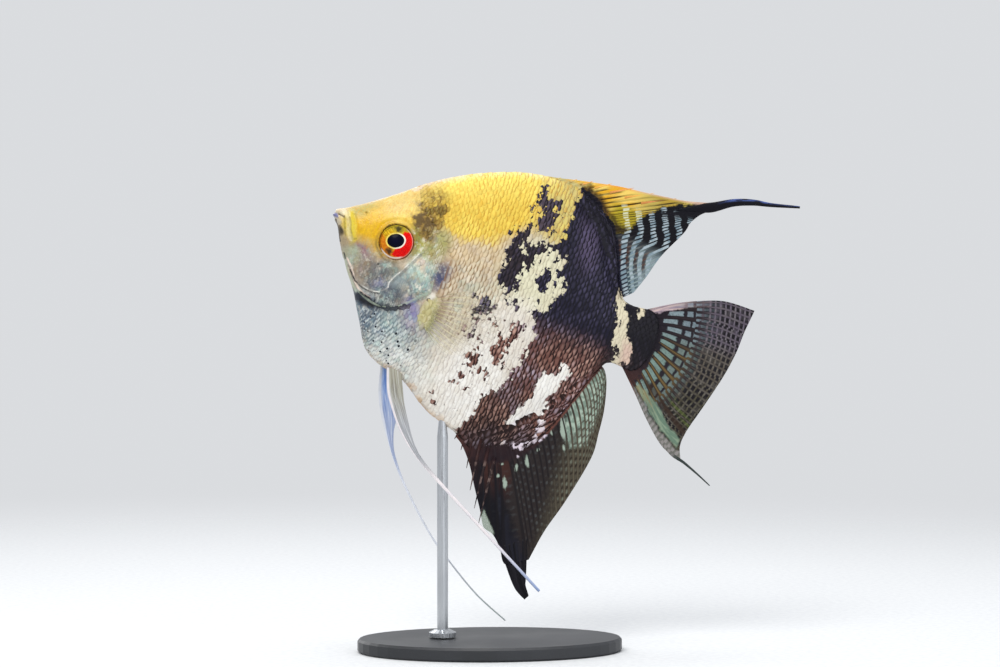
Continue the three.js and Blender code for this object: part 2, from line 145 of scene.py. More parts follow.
def inside_by(x, z, outline):
    """How far each point lies inside a closed outline, and below zero outside it."""
    closed = list(outline) + [outline[0]]
    inside = np.zeros(np.shape(x), bool)
    for (x0, z0), (x1, z1) in zip(closed[:-1], closed[1:]):
        crosses = (z0 > z) != (z1 > z)
        level = z1 - z0 if z1 != z0 else 1e-9
        inside ^= crosses & (x < (x1 - x0) * (z - z0) / level + x0)
    distance = path_distance(x, z, closed)
    return np.where(inside, distance, -distance)


def cloud(places, size, seed=0):
    """Soft repeatable lumps from -1 to 1, about one size across."""
    at = np.asarray(places, float) / size + 1000.5
    cell = np.floor(at).astype(np.int64)
    part = at - cell
    part = part * part * (3 - 2 * part)
    total = np.zeros(at.shape[:-1])
    for corner in range(8):
        step = np.array([corner & 1, corner >> 1 & 1, corner >> 2])
        c = cell + step
        mixed = (
            c[..., 0] * 73856093 ^ c[..., 1] * 19349663 ^ c[..., 2] * 83492791 ^ (seed * 2654435)
        )
        mixed = (mixed ^ mixed >> 13) * 1274126177 & 0xFFFFFFF
        value = (mixed ^ mixed >> 11) % 4096 / 2047.5 - 1
        total += value * np.prod(np.where(step, part, 1 - part), -1)
    return total


def paint(code):
    """A colour such as "e8c54a" as linear red, green and blue."""
    parts = [int(code[i:i + 2], 16) / 255 for i in (0, 2, 4)]
    return tuple(p / 12.92 if p <= 0.04045 else ((p + 0.055) / 1.055) ** 2.4 for p in parts)


# ---- Profiles -----------------------------------------------------------------------------

BACK = smooth_line([
    (-0.6, 0.5), (0, 1.5), (1, 2.2), (5, 5.1), (10, 9.1), (15, 13.5), (20, 17.2), (25, 20.2),
    (30, 22.6), (35, 24.4), (40, 25.3), (44, 24.9), (48, 23.1), (54, 18.9), (58, 14.5),
    (61.5, 9.7), (64, 6.9), (67, 6.2), (69.5, 6.5), (72, 6.9), (75.2, 7.4),
])
BELLY = smooth_line([
    (-0.6, 0.2), (0, -0.9), (1, -2.2), (2.4, -4.7), (5, -8.5), (9.5, -14.2), (13.3, -20),
    (16, -24), (18, -25.6), (21.5, -26.9), (25, -27.3), (28, -28.7), (33, -31.8), (37, -33.2),
    (42, -34), (46, -33), (50, -30.6), (55, -26), (60, -19.2), (64, -11.8), (66.5, -8),
    (69, -7.4), (72, -7.8), (75.2, -8.4),
])
# The scaly sheaths run out on to the bases of the back fin and the belly fin.
SHEATH_TOP = smooth_line([
    (38, 0), (41, 0.2), (44, 0.9), (48, 2.3), (51, 3.2), (54, 3.9), (58, 4.5), (60.5, 3.8),
    (62.5, 2.1), (64.5, 0.5), (66, 0), (75.2, 0),
])
SHEATH_BOTTOM = smooth_line([
    (38, 0), (41, 0.2), (43, 1.3), (46, 3.8), (50, 6.4), (55, 8.4), (58, 9.2), (60, 8.4), (62, 6.4),
    (64, 3.4), (66, 0.6), (67, 0), (75.2, 0),
])
HALF_WIDTH = smooth_line([
    (-0.6, 0.6), (0.5, 1.6), (3, 2.7), (8, 4.2), (14, 5.6), (20, 6.8), (25, 7.1), (32, 6.9),
    (42, 6.1), (52, 4.9), (60, 3.7), (66, 2.6), (70, 1.8), (73, 1.0), (75.2, 0.6),
])
WIDEST_HEIGHT = smooth_line([
    (-0.6, 0.4), (4, -0.8), (14, -2.5), (24, -5.5), (36, -5.5), (56, -2), (72, -0.3), (75.2, -0.3),
])
KEEL = smooth_line([(-0.6, 0.05), (6, 0.12), (16, 0.35), (34, 0.6), (60, 0.7), (75.2, 0.45)])

FRONT, HEAD_REAR, REAR = -0.6, 26.0, 75.2
STATIONS = 320  # rings of skin from snout to tail root
RING = 256  # points round each ring
HEAD_SHARE = 0.42  # of the rings, packed closely at the mouth
SHEATH_START = 38
SKIN_DEPTH = 0.14  # the skin lies this far under the flesh's surface, for the scales


def station_places():
    share = np.linspace(0, 1, STATIONS + 1)
    head = FRONT + (HEAD_REAR - FRONT) * (np.minimum(share, HEAD_SHARE) / HEAD_SHARE) ** 1.35
    rear = (REAR - HEAD_REAR) * np.maximum(share - HEAD_SHARE, 0) / (1 - HEAD_SHARE)
    return head + rear


def half_section(x):
    """The right half of one section of the body, from its back to its belly, as y and z."""
    turn = np.cos(np.linspace(0, math.pi, 361))
    centre = float(WIDEST_HEIGHT(x))
    back, belly = float(BACK(x)), float(BELLY(x))
    top = back + float(SHEATH_TOP(x)) * (x > SHEATH_START)
    bottom = belly - float(SHEATH_BOTTOM(x)) * (x > SHEATH_START)
    z = centre + np.where(turn > 0, turn * (top - centre), turn * (centre - bottom))
    reach = np.where(z > centre, (z - centre) / (back - centre), (centre - z) / (centre - belly))
    roundness = lerp(0.5, 0.64, float(smoothstep(x, 12, 28)))
    flesh = float(HALF_WIDTH(x)) * (1 - np.minimum(np.abs(reach), 1) ** 1.8) ** roundness
    outside = np.maximum(rise(z, back - 0.5, top), rise(-z, -belly - 0.5, -bottom))
    keel = float(KEEL(x)) * (1 - 0.62 * outside * smoothstep(x, 40, 44) * smoothstep(72 - x, 0, 5))
    rim = np.maximum(rise(z, top - 2 * keel, top), rise(-z, -bottom - 2 * keel, -bottom))
    y = (flesh ** 3 + (keel * np.sqrt(1 - rim ** 2)) ** 3) ** (1 / 3)
    close = (1 - rise(x, 70.5, REAR + 0.05) ** 2.6) ** 0.5  # the tail root ends in a round edge
    return y, centre + (z - centre) * close


def section_ring(x):
    """One closed ring: down the left side from the back, then up the right side."""
    y, z = half_section(x)
    run = np.concatenate([[0], np.cumsum(np.hypot(np.diff(y), np.diff(z)))])
    even = np.linspace(0, run[-1], RING // 2 + 1)
    y, z = np.interp(even, run, y), np.interp(even, run, z)
    sides = np.concatenate([-y, y[-2:0:-1]])
    return np.stack([np.full(RING, x), sides, np.concatenate([z, z[-2:0:-1]])], -1)


def grid_normals(grid):
    along = np.gradient(grid, axis=0)
    around = np.roll(grid, -1, 1) - np.roll(grid, 1, 1)
    normals = np.cross(around, along)
    return normals / np.maximum(np.linalg.norm(normals, axis=-1, keepdims=True), 1e-9)


# ---- Relief of the head -------------------------------------------------------------------

MOUTH_CREASE = [(-0.9, 0.5), (0.4, 0.44), (1.3, 0.32), (1.9, -0.2)]
UPPER_LIP = [(-0.3, 1.0), (0.7, 1.15), (1.7, 0.35)]
LOWER_LIP = [(-0.6, 0.05), (0.5, -0.2), (1.3, -0.9)]
CHIN_FOLD = [(0.0, -1.0), (1.0, -1.35), (1.8, -2.3)]
JAW_CORNER = [(1.4, -1.5), (2.1, -2.3), (2.9, -3.7)]
CHEEK_FOLD = [(2.2, 1.6), (3.2, 0.2), (4.2, -1.8), (5.1, -3.8)]
FOLD_GROOVE = [(3.4, 1.5), (4.4, -0.2), (5.4, -2.2), (5.9, -4)]
LIP_GROOVE = [(1.4, 1.9), (2.4, 0.4), (3.1, -1.4), (4.1, -3.6)]
PREOPERCLE = [
    (19.4, -1.2), (18.3, -3.7), (17.2, -6.2), (16.3, -7.8), (15.7, -9.3), (15.9, -10.5),
    (14.9, -11.6), (15, -12.4), (14.6, -13.1),
]
JAW_ARC = [(7, -9.8), (8.9, -11.7), (10.5, -12.4), (12, -12.7), (13.4, -12.65), (14.7, -12.3)]
CHIN_EDGE = [(0.1, -0.9), (1.3, -2.7), (2.7, -4.9)]
FACE_RIM = [
    (5.5, -7.8), (6.9, -9.1), (8, -10.5), (8.9, -11.8), (10.1, -12.9), (11.9, -13.7), (13.2, -13.8),
]
THROAT_LINE = [(4.6, -7.3), (6.1, -9.5), (7.8, -11.6), (9.1, -12.9), (10, -13.7)]
GILL_EDGE = [
    (20.6, 4.3), (22.7, 3.8), (24.1, 2.2), (24.8, 0.4), (24.5, -1.9), (24.4, -5.9), (24.6, -8),
    (23.4, -9.3), (22.4, -10.4), (21.2, -11.8), (19.6, -13.2), (17.5, -14.4), (15.7, -14.9),
    (13.7, -14.7), (11.9, -14.1), (10.3, -13.4),
]
GILL_PLATE = GILL_EDGE + [(14.6, -11.6), (15.7, -9.3), (17.2, -6.2), (18.6, -3), (19.4, 0.5)]
GILL_GAP = [
    (24.9, -8.2), (23.9, -9.9), (22, -12.1), (20, -13.8), (17.6, -15), (14.6, -15.4), (11.6, -14.9),
]
GILL_HOLLOW = [(11.2, -14.6), (13, -15.1), (15.5, -15.2), (18.4, -14.4), (21.4, -12.6)]
GILL_SHADOW = [
    (10.9, -13.6), (12.4, -13.95), (15.2, -14.05), (17.6, -13.5), (19.4, -12.6),
]
CREAM_PLEAT = [(2.0, 1.3), (2.3, 0.6), (3.1, -0.9), (3.7, -2.5), (4.7, -3.7)]
YELLOW_PLEAT = [(2.7, 1.5), (3.2, 0.6), (4.2, -0.8), (4.6, -2.2), (5.4, -3.4)]
# Dark olive lines of painted shade between the pleats of the upper jaw.
PLEAT_SHADE_LINES = [
    [(2.7, 0.6), (3.4, -0.4), (3.8, -1.6), (4.7, -3), (5.1, -3.7), (5.7, -3.1)],
    [(1.5, 0.5), (1.9, -0.5), (2.6, -1.9), (3.3, -3.2)],
]
CHEEK = [
    (8.6, -6.6), (12.2, -7.6), (16.6, -5.4), (15.2, -9), (14.4, -11.4), (10.4, -11), (8, -9.2),
]
BEHIND_EYE = [
    (18.6, -0.6), (19.2, 2.8), (17.6, 5.6), (21.6, 4.6), (24, 2.6), (24, -0.6), (21, -1),
]
NOSTRIL = (5.6, 2.9)
CHEEK_PORE = (12.1, -6.5)
PECTORAL_LOBE = [(25.4, -9.6), (26.2, -12.2), (26.4, -15.2)]


def ridge(distance, width):
    """A soft bump of the given width beside a path."""
    return np.exp(-(distance / width) ** 2)


def eye_distance(x, z):
    """How far a point is from the eye's axis, as the eye is seen from its own side."""
    return np.hypot((x - EYE[0]) / math.cos(EYE_YAW), z - EYE[2])


def shifted(path, by_x, by_z=0):
    return [(a + by_x, b + by_z) for a, b in path]


# Folds and grooves of the head: height in mm, below zero for a groove, width and path.
FOLDS = [
    (0.34, 0.5, UPPER_LIP), (0.42, 0.45, LOWER_LIP), (0.16, 0.3, CHIN_FOLD),
    (-0.22, 0.2, MOUTH_CREASE), (-0.2, 0.35, JAW_CORNER), (0.3, 0.5, CHEEK_FOLD),
    (-0.22, 0.32, FOLD_GROOVE), (-0.24, 0.22, LIP_GROOVE), (0.14, 0.26, PREOPERCLE),
    (-0.1, 0.3, shifted(PREOPERCLE, -0.75)), (0.12, 0.3, FACE_RIM),
    (-0.2, 0.3, shifted(FACE_RIM, -0.4, -0.5)), (0.1, 0.3, THROAT_LINE), (-0.16, 0.2, JAW_ARC),
    (-0.38, 0.34, GILL_GAP), (0.14, 0.3, GILL_EDGE[1:]), (0.45, 0.9, PECTORAL_LOBE),
]
# Round knobs, rims and pits: height in mm, distance from the middle, width, and the middle.
KNOBS = [
    (0.1, 0.42, 0.14, NOSTRIL), (-0.4, 0, 0.24, NOSTRIL), (0.06, 0.45, 0.14, CHEEK_PORE),
    (-0.4, 0, 0.24, CHEEK_PORE), (0.5, 0, 0.5, (25.3, -8.6)), (-0.3, 0, 0.3, (25, -9.6)),
]


def head_relief(x, z):
    """How far the head's surface stands out from its plain shape, in mm."""
    relief = 0.3 * smoothstep(inside_by(x, z, GILL_PLATE), -0.15, 0.35)
    for height, width, path in FOLDS:
        relief += height * ridge(path_distance(x, z, path), width)
    for height, reach, width, (at_x, at_z) in KNOBS:
        relief += height * ridge(np.hypot(x - at_x, z - at_z) - reach, width)
    around = eye_distance(x, z)
    relief += 0.22 * ridge(around - 4.22, 0.26) - 0.12 * ridge(around - 4.85, 0.35)
    relief -= 1.5 * (1 - smoothstep(around, 3.4, 3.9))
    return relief * smoothstep(28.5 - x, 0, 2)


def skin_grid():
    rings = np.stack([section_ring(x) for x in station_places()])
    normals = grid_normals(rings)
    x, z = rings[..., 0], rings[..., 2]
    depth = SKIN_DEPTH * lerp(0.6, 1.2, smoothstep(x, 14, 26)) * smoothstep(x, -0.6, 2)
    relief = head_relief(x, z)
    relief += 0.035 * cloud(rings, 1.3, 3) + 0.05 * cloud(rings, 4, 4)
    shaped = rings + normals * (relief - depth)[..., None]
    shaped[0], shaped[-1] = shaped[0].mean(0), shaped[-1].mean(0)
    return shaped


SKIN = skin_grid()
SKIN_NORMALS = grid_normals(SKIN)
SKIN_X = station_places()


# ---- Marbling -----------------------------------------------------------------------------
# Soft washes of colour: colour, x, z, half length, half height, turn in degrees, softness.

UNDER_YELLOW = [
    ("a3948c", 28, -14.5, 5, 3.6, -20, 0.6),
    ("efe8dc", 33, -25, 17, 10, -20, 0.5),
    ("8fa3a5", 18, -20, 10, 8, 0, 0.5),
    # A painted highlight: a near-white patch low on the breast.
    ("f4f4ee", 25, -25.0, 8, 4.0, -15, 0.6),
    ("8b8899", 23.6, -15.4, 3.4, 2.0, -25, 0.6),
    ("5d7286", 13, -17, 5, 3.4, -45, 0.6),
    ("bfa382", 29.5, -3.0, 7.5, 8.5, 0, 0.5),
    ("dcc39a", 31, 3.4, 10, 3.6, 8, 0.6),
    ("cfc4ad", 34, -9, 5, 8, 0, 0.6),
    ("eae7c9", 45, 3, 8, 9, 0, 0.4),
    ("f0eae0", 43.5, -11, 8, 8.5, 0, 0.4),
    ("fdfbf6", 40.5, -24, 7.5, 10, 10, 0.45),
    ("fdfbf6", 55, -20, 7, 11, -28, 0.3),
    ("e2d9bc", 67, 0, 5, 9, 0, 0.3),
    ("e2d6e4", 57.5, -30, 6, 4.5, 30, 0.3),
    ("dcbfae", 70, -5, 1.8, 3.4, 20, 0.5),
]
OVER_YELLOW = [
    ("e2c575", 8.5, 8.2, 10, 4.4, 38, 0.5),
    ("e6b50a", 7.6, 0.2, 4.8, 4.4, 0, 0.5),
    ("bdae60", 4.0, 3.5, 3.6, 1.6, 40, 0.6),
    ("d9b248", 7.6, -3.3, 3.4, 1.2, 0, 0.5),
    ("968a7e", 9, -7.8, 6.2, 3.6, -25, 0.5),
    ("936f76", 7.4, -5.1, 2.1, 1.3, -10, 0.5),
    ("8a877a", 15, -6.3, 2.6, 1.6, 0, 0.6),
    ("676e72", 13.6, -9.4, 3.4, 3.0, 0, 0.6),
    ("7e84a4", 14.3, -10.6, 2, 1.2, 0, 0.6),
    ("aaa98c", 6.0, -6.6, 2.2, 1.8, -50, 0.5),
    ("868a3c", 18.8, 2, 2.6, 3.6, 0, 0.5),
    ("a8a048", 20.4, -0.4, 2.5, 3.2, 0, 0.5),
    ("bdd8cc", 21.8, -4.8, 3, 3.6, 0, 0.5),
    ("ecdcc2", 20.8, -3.2, 1.3, 1.5, 0, 0.6),
    ("93b3b0", 21.8, -7.4, 2.4, 1.5, 0, 0.5),
    ("c6e2d6", 20.8, -6, 2.0, 1.3, 0, 0.6),
    ("8f9c9f", 18.4, -8.8, 2.6, 3, -30, 0.6),
    ("525c68", 17.2, -11.8, 4.2, 1.6, 8, 0.5),
    ("66717c", 21, -10.6, 2.4, 1.6, 35, 0.5),
    ("aba764", 22.4, 2.2, 2.6, 3.2, 0, 0.6),
    ("4d5170", 25.4, -4.2, 1.9, 3.1, -8, 0.6),
    ("8d88b8", 22.6, -13.6, 1.5, 3.2, 35, 0.6),
    ("cbc48a", 26, -12.2, 1.3, 3.6, -6, 0.5),
    ("efe9dc", 25.3, -8.6, 0.8, 0.8, 0, 0.5),
    ("3a2812", 53.6, 24.0, 6.4, 2.0, -36, 0.8),
    ("8d7f22", 58.4, 21.4, 3, 2.2, -10, 0.5),
    ("e3d7b4", 0.9, 1.2, 1.5, 1, 0, 0.5),
    ("6d6f9c", -0.2, 0.15, 1.1, 0.55, -20, 0.4),
    ("d2c6ad", 0.9, -0.9, 1.1, 0.5, -20, 0.5),
    ("5b4f3c", 1.9, -2.7, 1.2, 0.8, -55, 0.5),
    ("e2cb52", 3.6, -1.2, 1.1, 3.2, 25, 0.6),
    ("a9997c", 3.2, -4.6, 1.2, 1.4, -55, 0.5),
]
YELLOW = [
    (-3, 8), (-3, 1.9), (1.6, 1.2), (3, -1.4), (4.4, -3.6), (7.6, -3.9), (10.4, -4.9), (13, -4.6),
    (17.4, -0.5), (18.2, 3.6), (20, 6), (26.6, 5.3), (33.2, 7.1), (36.4, 10), (38, 13), (42, 13),
    (48, 12.2), (52, 18), (62, 17), (62, 34), (14, 34),
]
DEEP_WASHES = [
    # A painted sheen: a lavender patch on the dark upper flank.
    ("554a66", 53.2, 14.4, 2.0, 5.2, 20, 0.9),
    ("0a0915", 54, 20.8, 8.5, 2.6, -40, 0.7),
    ("2a2124", 41, 9, 4.6, 14, 0, 0.4),
    ("4b3f45", 41.6, 17.4, 4, 5.6, 0, 0.6),
    ("55332a", 50, -27, 9, 7, -20, 0.5),
    ("3a2420", 49, -32, 8, 4, 18, 0.6),
    ("281b1f", 55, -37, 14, 6.5, 25, 0.5),
    ("1c2136", 36.2, -8.5, 2.6, 5.4, 0, 0.3),
]
# Where the skin glitters: strength, x, z, half length, half height, turn, softness.
PEARLS = [
    (0.5, 19, -20, 12, 9, -20, 0.5), (0.9, 21.6, -5, 3.6, 6, 0, 0.5), (0.45, 31, -4, 9, 10, 0, 0.6),
    (0.5, 11, -8, 6, 4, 0, 0.5), (0.8, 19.8, 2.4, 3.0, 4.2, 0, 0.6),
]
DARK_BANDS = [
    [
        (47.4, 26.2), (47.6, 23.8), (47.8, 21.2), (47.1, 15), (47.2, 10.6), (49.5, 8), (50.4, 4.9),
        (51.3, 1.8), (49.5, -0.4), (46.2, -3.9), (49, -7.4), (49.3, -9.6), (48, -12.3),
        (47.8, -18), (45.6, -22), (43.1, -24.6), (43.1, -28.1), (42.2, -31.7), (39.5, -44),
        (90, -44), (90, 18), (61, 20.6), (57.4, 21), (54, 22.8), (50.8, 25.4), (48.4, 26.4),
    ],
    [
        (40, 21.8), (
            44.2, 20.4,
        ), (44.9, 14.6), (44, 12.6), (41.1, 12.8), (40.6, 15.5), (38.8, 18.6),
        (39.2, 20.6),
    ],
    [
        (37.2, 12), (39.4, 11.6), (38.9, 8.6), (40.8, 7.2), (41.8, 9.4), (44, 9.8), (43.2, 6.2),
        (41.9, 4.6), (41.6, 2.6), (42.6, 0.6), (41, -1.8), (39.6, -2.4), (37.4, -0.4), (36.9, 4),
        (37.3, 8),
    ],
    [(46.1, 4.4), (47, 5.6), (48.4, 4.6), (48.2, 2.2), (47, 1.2), (45.9, 2.2)],
    [(43.6, -6.6), (46.4, -7.2), (46.2, -10.4), (44.6, -12.4), (43.4, -9.4)],
    [(42.2, -11), (44.4, -11.2), (44.8, -17), (43.2, -19), (41.6, -15.4)],
    [(37.8, -15.2), (39.6, -15.8), (41.2, -19.8), (39.6, -21.6), (37.4, -18.2)],
    [(40.4, 9.2), (47.6, 9), (47.6, 10), (40.4, 10.2)],
]
DARK_DOTS = [
    (35.6, -4.8, 0.9), (36.8, -6.2, 1.2), (35.6, -8.2, 1.3), (36.2, -10, 1.1), (36.6, -12.6, 1.4),
    (38.8, -6, 0.6), (40.6, -9.4, 0.6), (34.4, -5.2, 0.5), (41.6, -3.4, 0.7), (38.6, -12.6, 0.5),
    (33.8, -13, 0.5), (
        42.6, -13.8, 0.6,
    ), (37.2, -24.4, 0.7), (34.6, -29.4, 1.0), (40.2, -29.8, 0.6),
    (45.3, -2.0, 0.5), (39, 13.4, 0.7), (36.2, 10.9, 0.6), (40.2, -4.6, 0.45), (42.2, -7.4, 0.4),
    (39.4, -8, 0.35), (41, -1.6, 0.4), (38.2, -22.2, 0.4), (40.6, -24.2, 0.35), (43.6, -21.6, 0.45),
]
PALE_IN_DARK = [
    [
        (58.2, -11.7), (59.8, -12.7), (59.4, -14.6), (58.4, -15.8), (58.2, -17.6), (57.2, -19.6),
        (57, -20.8), (58.3, -21.3), (58.2, -22.6), (56.6, -24.4), (55.2, -25.4), (53.8, -27.6),
        (50.8, -29.1), (50.1, -28), (52.4, -24.2), (54.2, -20.6), (53.4, -17.2), (54.4, -14.8),
        (56.8, -14), (57.2, -12.4),
    ],
    [
        (63.3, 7.2), (65.2, 6.6), (67.4, 2.4), (68.2, -0.6), (70.6, -2.6), (71, -4.6), (69.2, -7.9),
        (67.2, -7.8), (67.6, -5), (66, -3), (65.6, 0), (64.4, 3.2), (63.2, 5.2),
    ],
]
PALE_DOTS = [
    (
        52.5, -32.7, 0.55,
    ), (54.7, -32.2, 0.6), (56.0, -31.4, 0.62), (57.2, -30.6, 0.65), (58.4, -29.9, 0.65),
    (58.3, -28.3, 0.75), (59.9, -29.1, 0.4), (60.3, -27.6, 0.6), (58.7, -26.6, 0.78),
    (57.8, -25.4, 0.65), (56.2, -33.8, 0.35), (69.6, 5.6, 0.9),
]
# Where the dark breaks up into small patches: x, z, half length, half height, turn.
BROKEN = [
    (41.5, 17, 5, 7, 0), (45.5, 4, 7, 9, 0), (40.5, -17, 6, 9, -10), (47, -20, 3, 9, 0),
    (36, -28, 6, 4, 0), (67, 0, 4, 8, 0),
]
# Soft dark blotches on the nape: x, z, half length, half height, strength.
NAPE_SMUDGES = [
    (
        18.2, 10.8, 3.6, 3.4, 0.5,
    ), (20.2, 9.2, 1.5, 1.5, 1.0), (19, 8.2, 2.4, 1.8, 0.8), (18, 5.3, 2.9, 2.0, 1.0),
    (20.6, 6.4, 1.3, 2.6, 0.75), (19.4, 3, 1.8, 1.6, 0.85), (16.4, 8.6, 1.4, 1.5, 0.7),
]


def oval_reach(x, z, at_x, at_z, half_x, half_z, turn):
    """The distance from a turned oval's middle, as a share of its half size."""
    c, s = math.cos(math.radians(turn)), math.sin(math.radians(turn))
    u = ((x - at_x) * c + (z - at_z) * s) / half_x
    v = ((z - at_z) * c - (x - at_x) * s) / half_z
    return np.hypot(u, v)


def wash_share(x, z, wash):
    *oval, soft = wash[-6:]
    return 1 - smoothstep(oval_reach(x, z, *oval), 1 - soft, 1 + soft)


def laid_over(colour, code, share):
    return colour + (np.array(paint(code)) - colour) * share[..., None]


def washed(colour, washes, x, z):
    for wash in washes:
        colour = laid_over(colour, wash[0], wash_share(x, z, wash))
    return colour


def union_of(fields):
    return np.max(np.stack(fields), 0)


def patches(x, z, outlines, dots):
    """How far each point lies inside any of the outlines and round dots, below zero outside."""
    return union_of(
        [inside_by(x, z, outline) for outline in outlines]
        + [size - np.hypot(x - dot_x, z - dot_z) for dot_x, dot_z, size in dots]
    )


def markings(places):
    """The marbling at each place in the fish's frame, with painted shade, highlights and sheen, as the
    attributes that its materials read.
    """
    wander = np.stack([cloud(places, 2.6, 11), cloud(places, 2.6, 12)])
    fray = np.stack([cloud(places, 1.1, 13), cloud(places, 1.1, 14)])
    other_side = (places[..., 1] > 0) * 1.0
    x = places[..., 0] + wander[0] * (0.5 + 0.9 * other_side) + fray[0] * 0.35
    z = places[..., 2] + wander[1] * (0.5 + 0.9 * other_side) + fray[1] * 0.35
    plain = np.zeros((*x.shape, 3))
    pale = washed(plain + paint("c9b79c"), UNDER_YELLOW, x, z)
    yellow = smoothstep(inside_by(x, z, YELLOW), -2.0, 1.4)
    top = BACK(x) - z
    gold = laid_over(plain + paint("efca50"), "fce46e", 1 - smoothstep(top, 2, 9))
    gold = laid_over(gold, "f6e79e", 1 - smoothstep(top, 0.2, 2.2))
    gold = laid_over(gold, "c6b97c", smoothstep(x, 37, 43) * 0.9)
    pale = washed(pale + (gold - pale) * yellow[..., None], OVER_YELLOW, x, z)
    off_eye = eye_distance(x, z)
    # Painted shadow: an olive-brown ring round the eye, strongest below it.
    ring = ridge(off_eye - 4.3, 0.32) * lerp(0.75, 0.3, smoothstep(z, -4, 2))
    pale = laid_over(pale, "7a6224", ring)
    # Painted shade: the lip of the socket just outside the eyeball goes dark, most at its front.
    socket = (1 - smoothstep(off_eye, 3.78, 4.02)) * lerp(0.9, 0.45, smoothstep(x, 14, 17))
    pale = laid_over(pale, "2c2411", socket)
    # Painted shade: a blue-black band in the hollow under the gill cover, wider at its front, with no
    # pearly flecks or dots in it.
    gap = path_distance(x, z, GILL_HOLLOW) / lerp(1.8, 0.8, smoothstep(x, 15, 20))
    gill_hollow_shade = 1 - smoothstep(gap, 0.25, 1)
    pale = laid_over(pale, "1f2636", gill_hollow_shade * 0.9)
    keel = (
        (1 - smoothstep(z - BELLY(x), 0.3, 1.3)) * smoothstep(x, 12, 20) * smoothstep(-x, -42, -38)
    )
    pale = laid_over(pale, "d9a35e", keel * 0.6)
    # Painted highlight: a pinkish-white line along the edge of the back, from the snout to the back fin.
    back_edge_highlight = (1 - smoothstep(top, 0.1, 0.9)) * smoothstep(-x, -40, -34)
    pale = laid_over(pale, "f2dcd2", back_edge_highlight * lerp(0.25, 0.6, smoothstep(x, 4, 9)))
    deep = laid_over(plain + paint("121024"), "6c433a", smoothstep(-z, 2.4, 11.5))
    deep = laid_over(washed(deep, DEEP_WASHES, x, z), "0f0c13", smoothstep(x, 64, 68))
    darkness = patches(x, z, DARK_BANDS, DARK_DOTS)
    paleness = patches(x, z, PALE_IN_DARK, PALE_DOTS)
    smudge = union_of([spot[4] * wash_share(x, z, (*spot[:4], 0, 0.9)) for spot in NAPE_SMUDGES])
    pearl = (1 - gill_hollow_shade) * union_of([spot[0] * wash_share(x, z, spot) for spot in PEARLS])
    dots = (1 - gill_hollow_shade) * wash_share(x, z, (18, -20.5, 10, 6, -30, 0.6))
    broken = union_of([wash_share(x, z, (*spot, 0.5)) for spot in BROKEN])
    broken = broken - 0.6 * wash_share(x, z, (54, 23, 7, 2.6, -32, 0.4))
    outline = 0.12 + 0.42 * wash_share(x, z, (30.5, -1, 8, 10, 0, 0.5)) + 0.08 * yellow
    outline = outline * smoothstep(x, 19, 27) * (1 - 0.85 * smudge) + 0.1
    return {
        "place": places,
        "marks": np.stack([darkness, paleness, smudge], -1),
        "flecks": np.stack([pearl, dots, yellow], -1),
        "pale_tint": pale,
        "deep_tint": deep,
        "finish": np.stack([outline, broken, smoothstep(x, 62, 66)], -1),
    }


# ---- Making pieces ------------------------------------------------------------------------

def add_attributes(mesh, values):
    """Stores values on a mesh's points: numbers, vectors, or colours where the name ends in tint."""
    for name, value in values.items():
        value = np.asarray(value, np.float32)
        if value.ndim == 1:
            mesh.attributes.new(name, "FLOAT", "POINT").data.foreach_set("value", value)
        elif name.endswith("tint"):
            full = np.concatenate([value, np.ones((len(value), 1), np.float32)], 1)
            mesh.attributes.new(
                name, "FLOAT_COLOR", "POINT",
            ).data.foreach_set("color", full.ravel())
        else:
            mesh.attributes.new(
                name, "FLOAT_VECTOR", "POINT",
            ).data.foreach_set("vector", value.ravel())


def add_map(mesh, name, places):
    """A UV map from one place for each corner of each face."""
    mesh.uv_layers.new(name=name).data.foreach_set("uv", np.asarray(places, np.float32).ravel())


def read_all(items, name):
    """One whole number for each of a mesh's corners or faces."""
    values = np.empty(len(items), np.int32)
    items.foreach_get(name, values)
    return values


def new_object(name, data):
    made = bpy.data.objects.new(name, data)
    bpy.context.scene.collection.objects.link(made)
    return made


def new_piece(name, mesh, material, replaced=()):
    piece = new_object(name, mesh)
    mesh.materials.append(material)
    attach(piece, "root")
    if replaced:
        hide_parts(*replaced)


def mesh_of(name, bm, smooth=True):
    mesh = bpy.data.meshes.new(name)
    bm.normal_update()
    bm.to_mesh(mesh)
    bm.free()
    if smooth:
        mesh.shade_smooth()
    return mesh


# ---- Shader tools -------------------------------------------------------------------------

class Field:
    """A value that varies over a surface. Plain sums and products join it to others."""

    def __init__(self, nodes, socket):
        self.nodes = nodes
        self.socket = socket

    def __add__(self, other):
        return self.nodes.math("ADD", self, other)

    def __radd__(self, other):
        return self.nodes.math("ADD", other, self)

    def __sub__(self, other):
        return self.nodes.math("SUBTRACT", self, other)

    def __rsub__(self, other):
        return self.nodes.math("SUBTRACT", other, self)

    def __mul__(self, other):
        return self.nodes.math("MULTIPLY", self, other)

    def __rmul__(self, other):
        return self.nodes.math("MULTIPLY", other, self)

    def __pow__(self, power):
        return self.nodes.math("POWER", self, power)

    def __abs__(self):
        return self.nodes.math("ABSOLUTE", self)


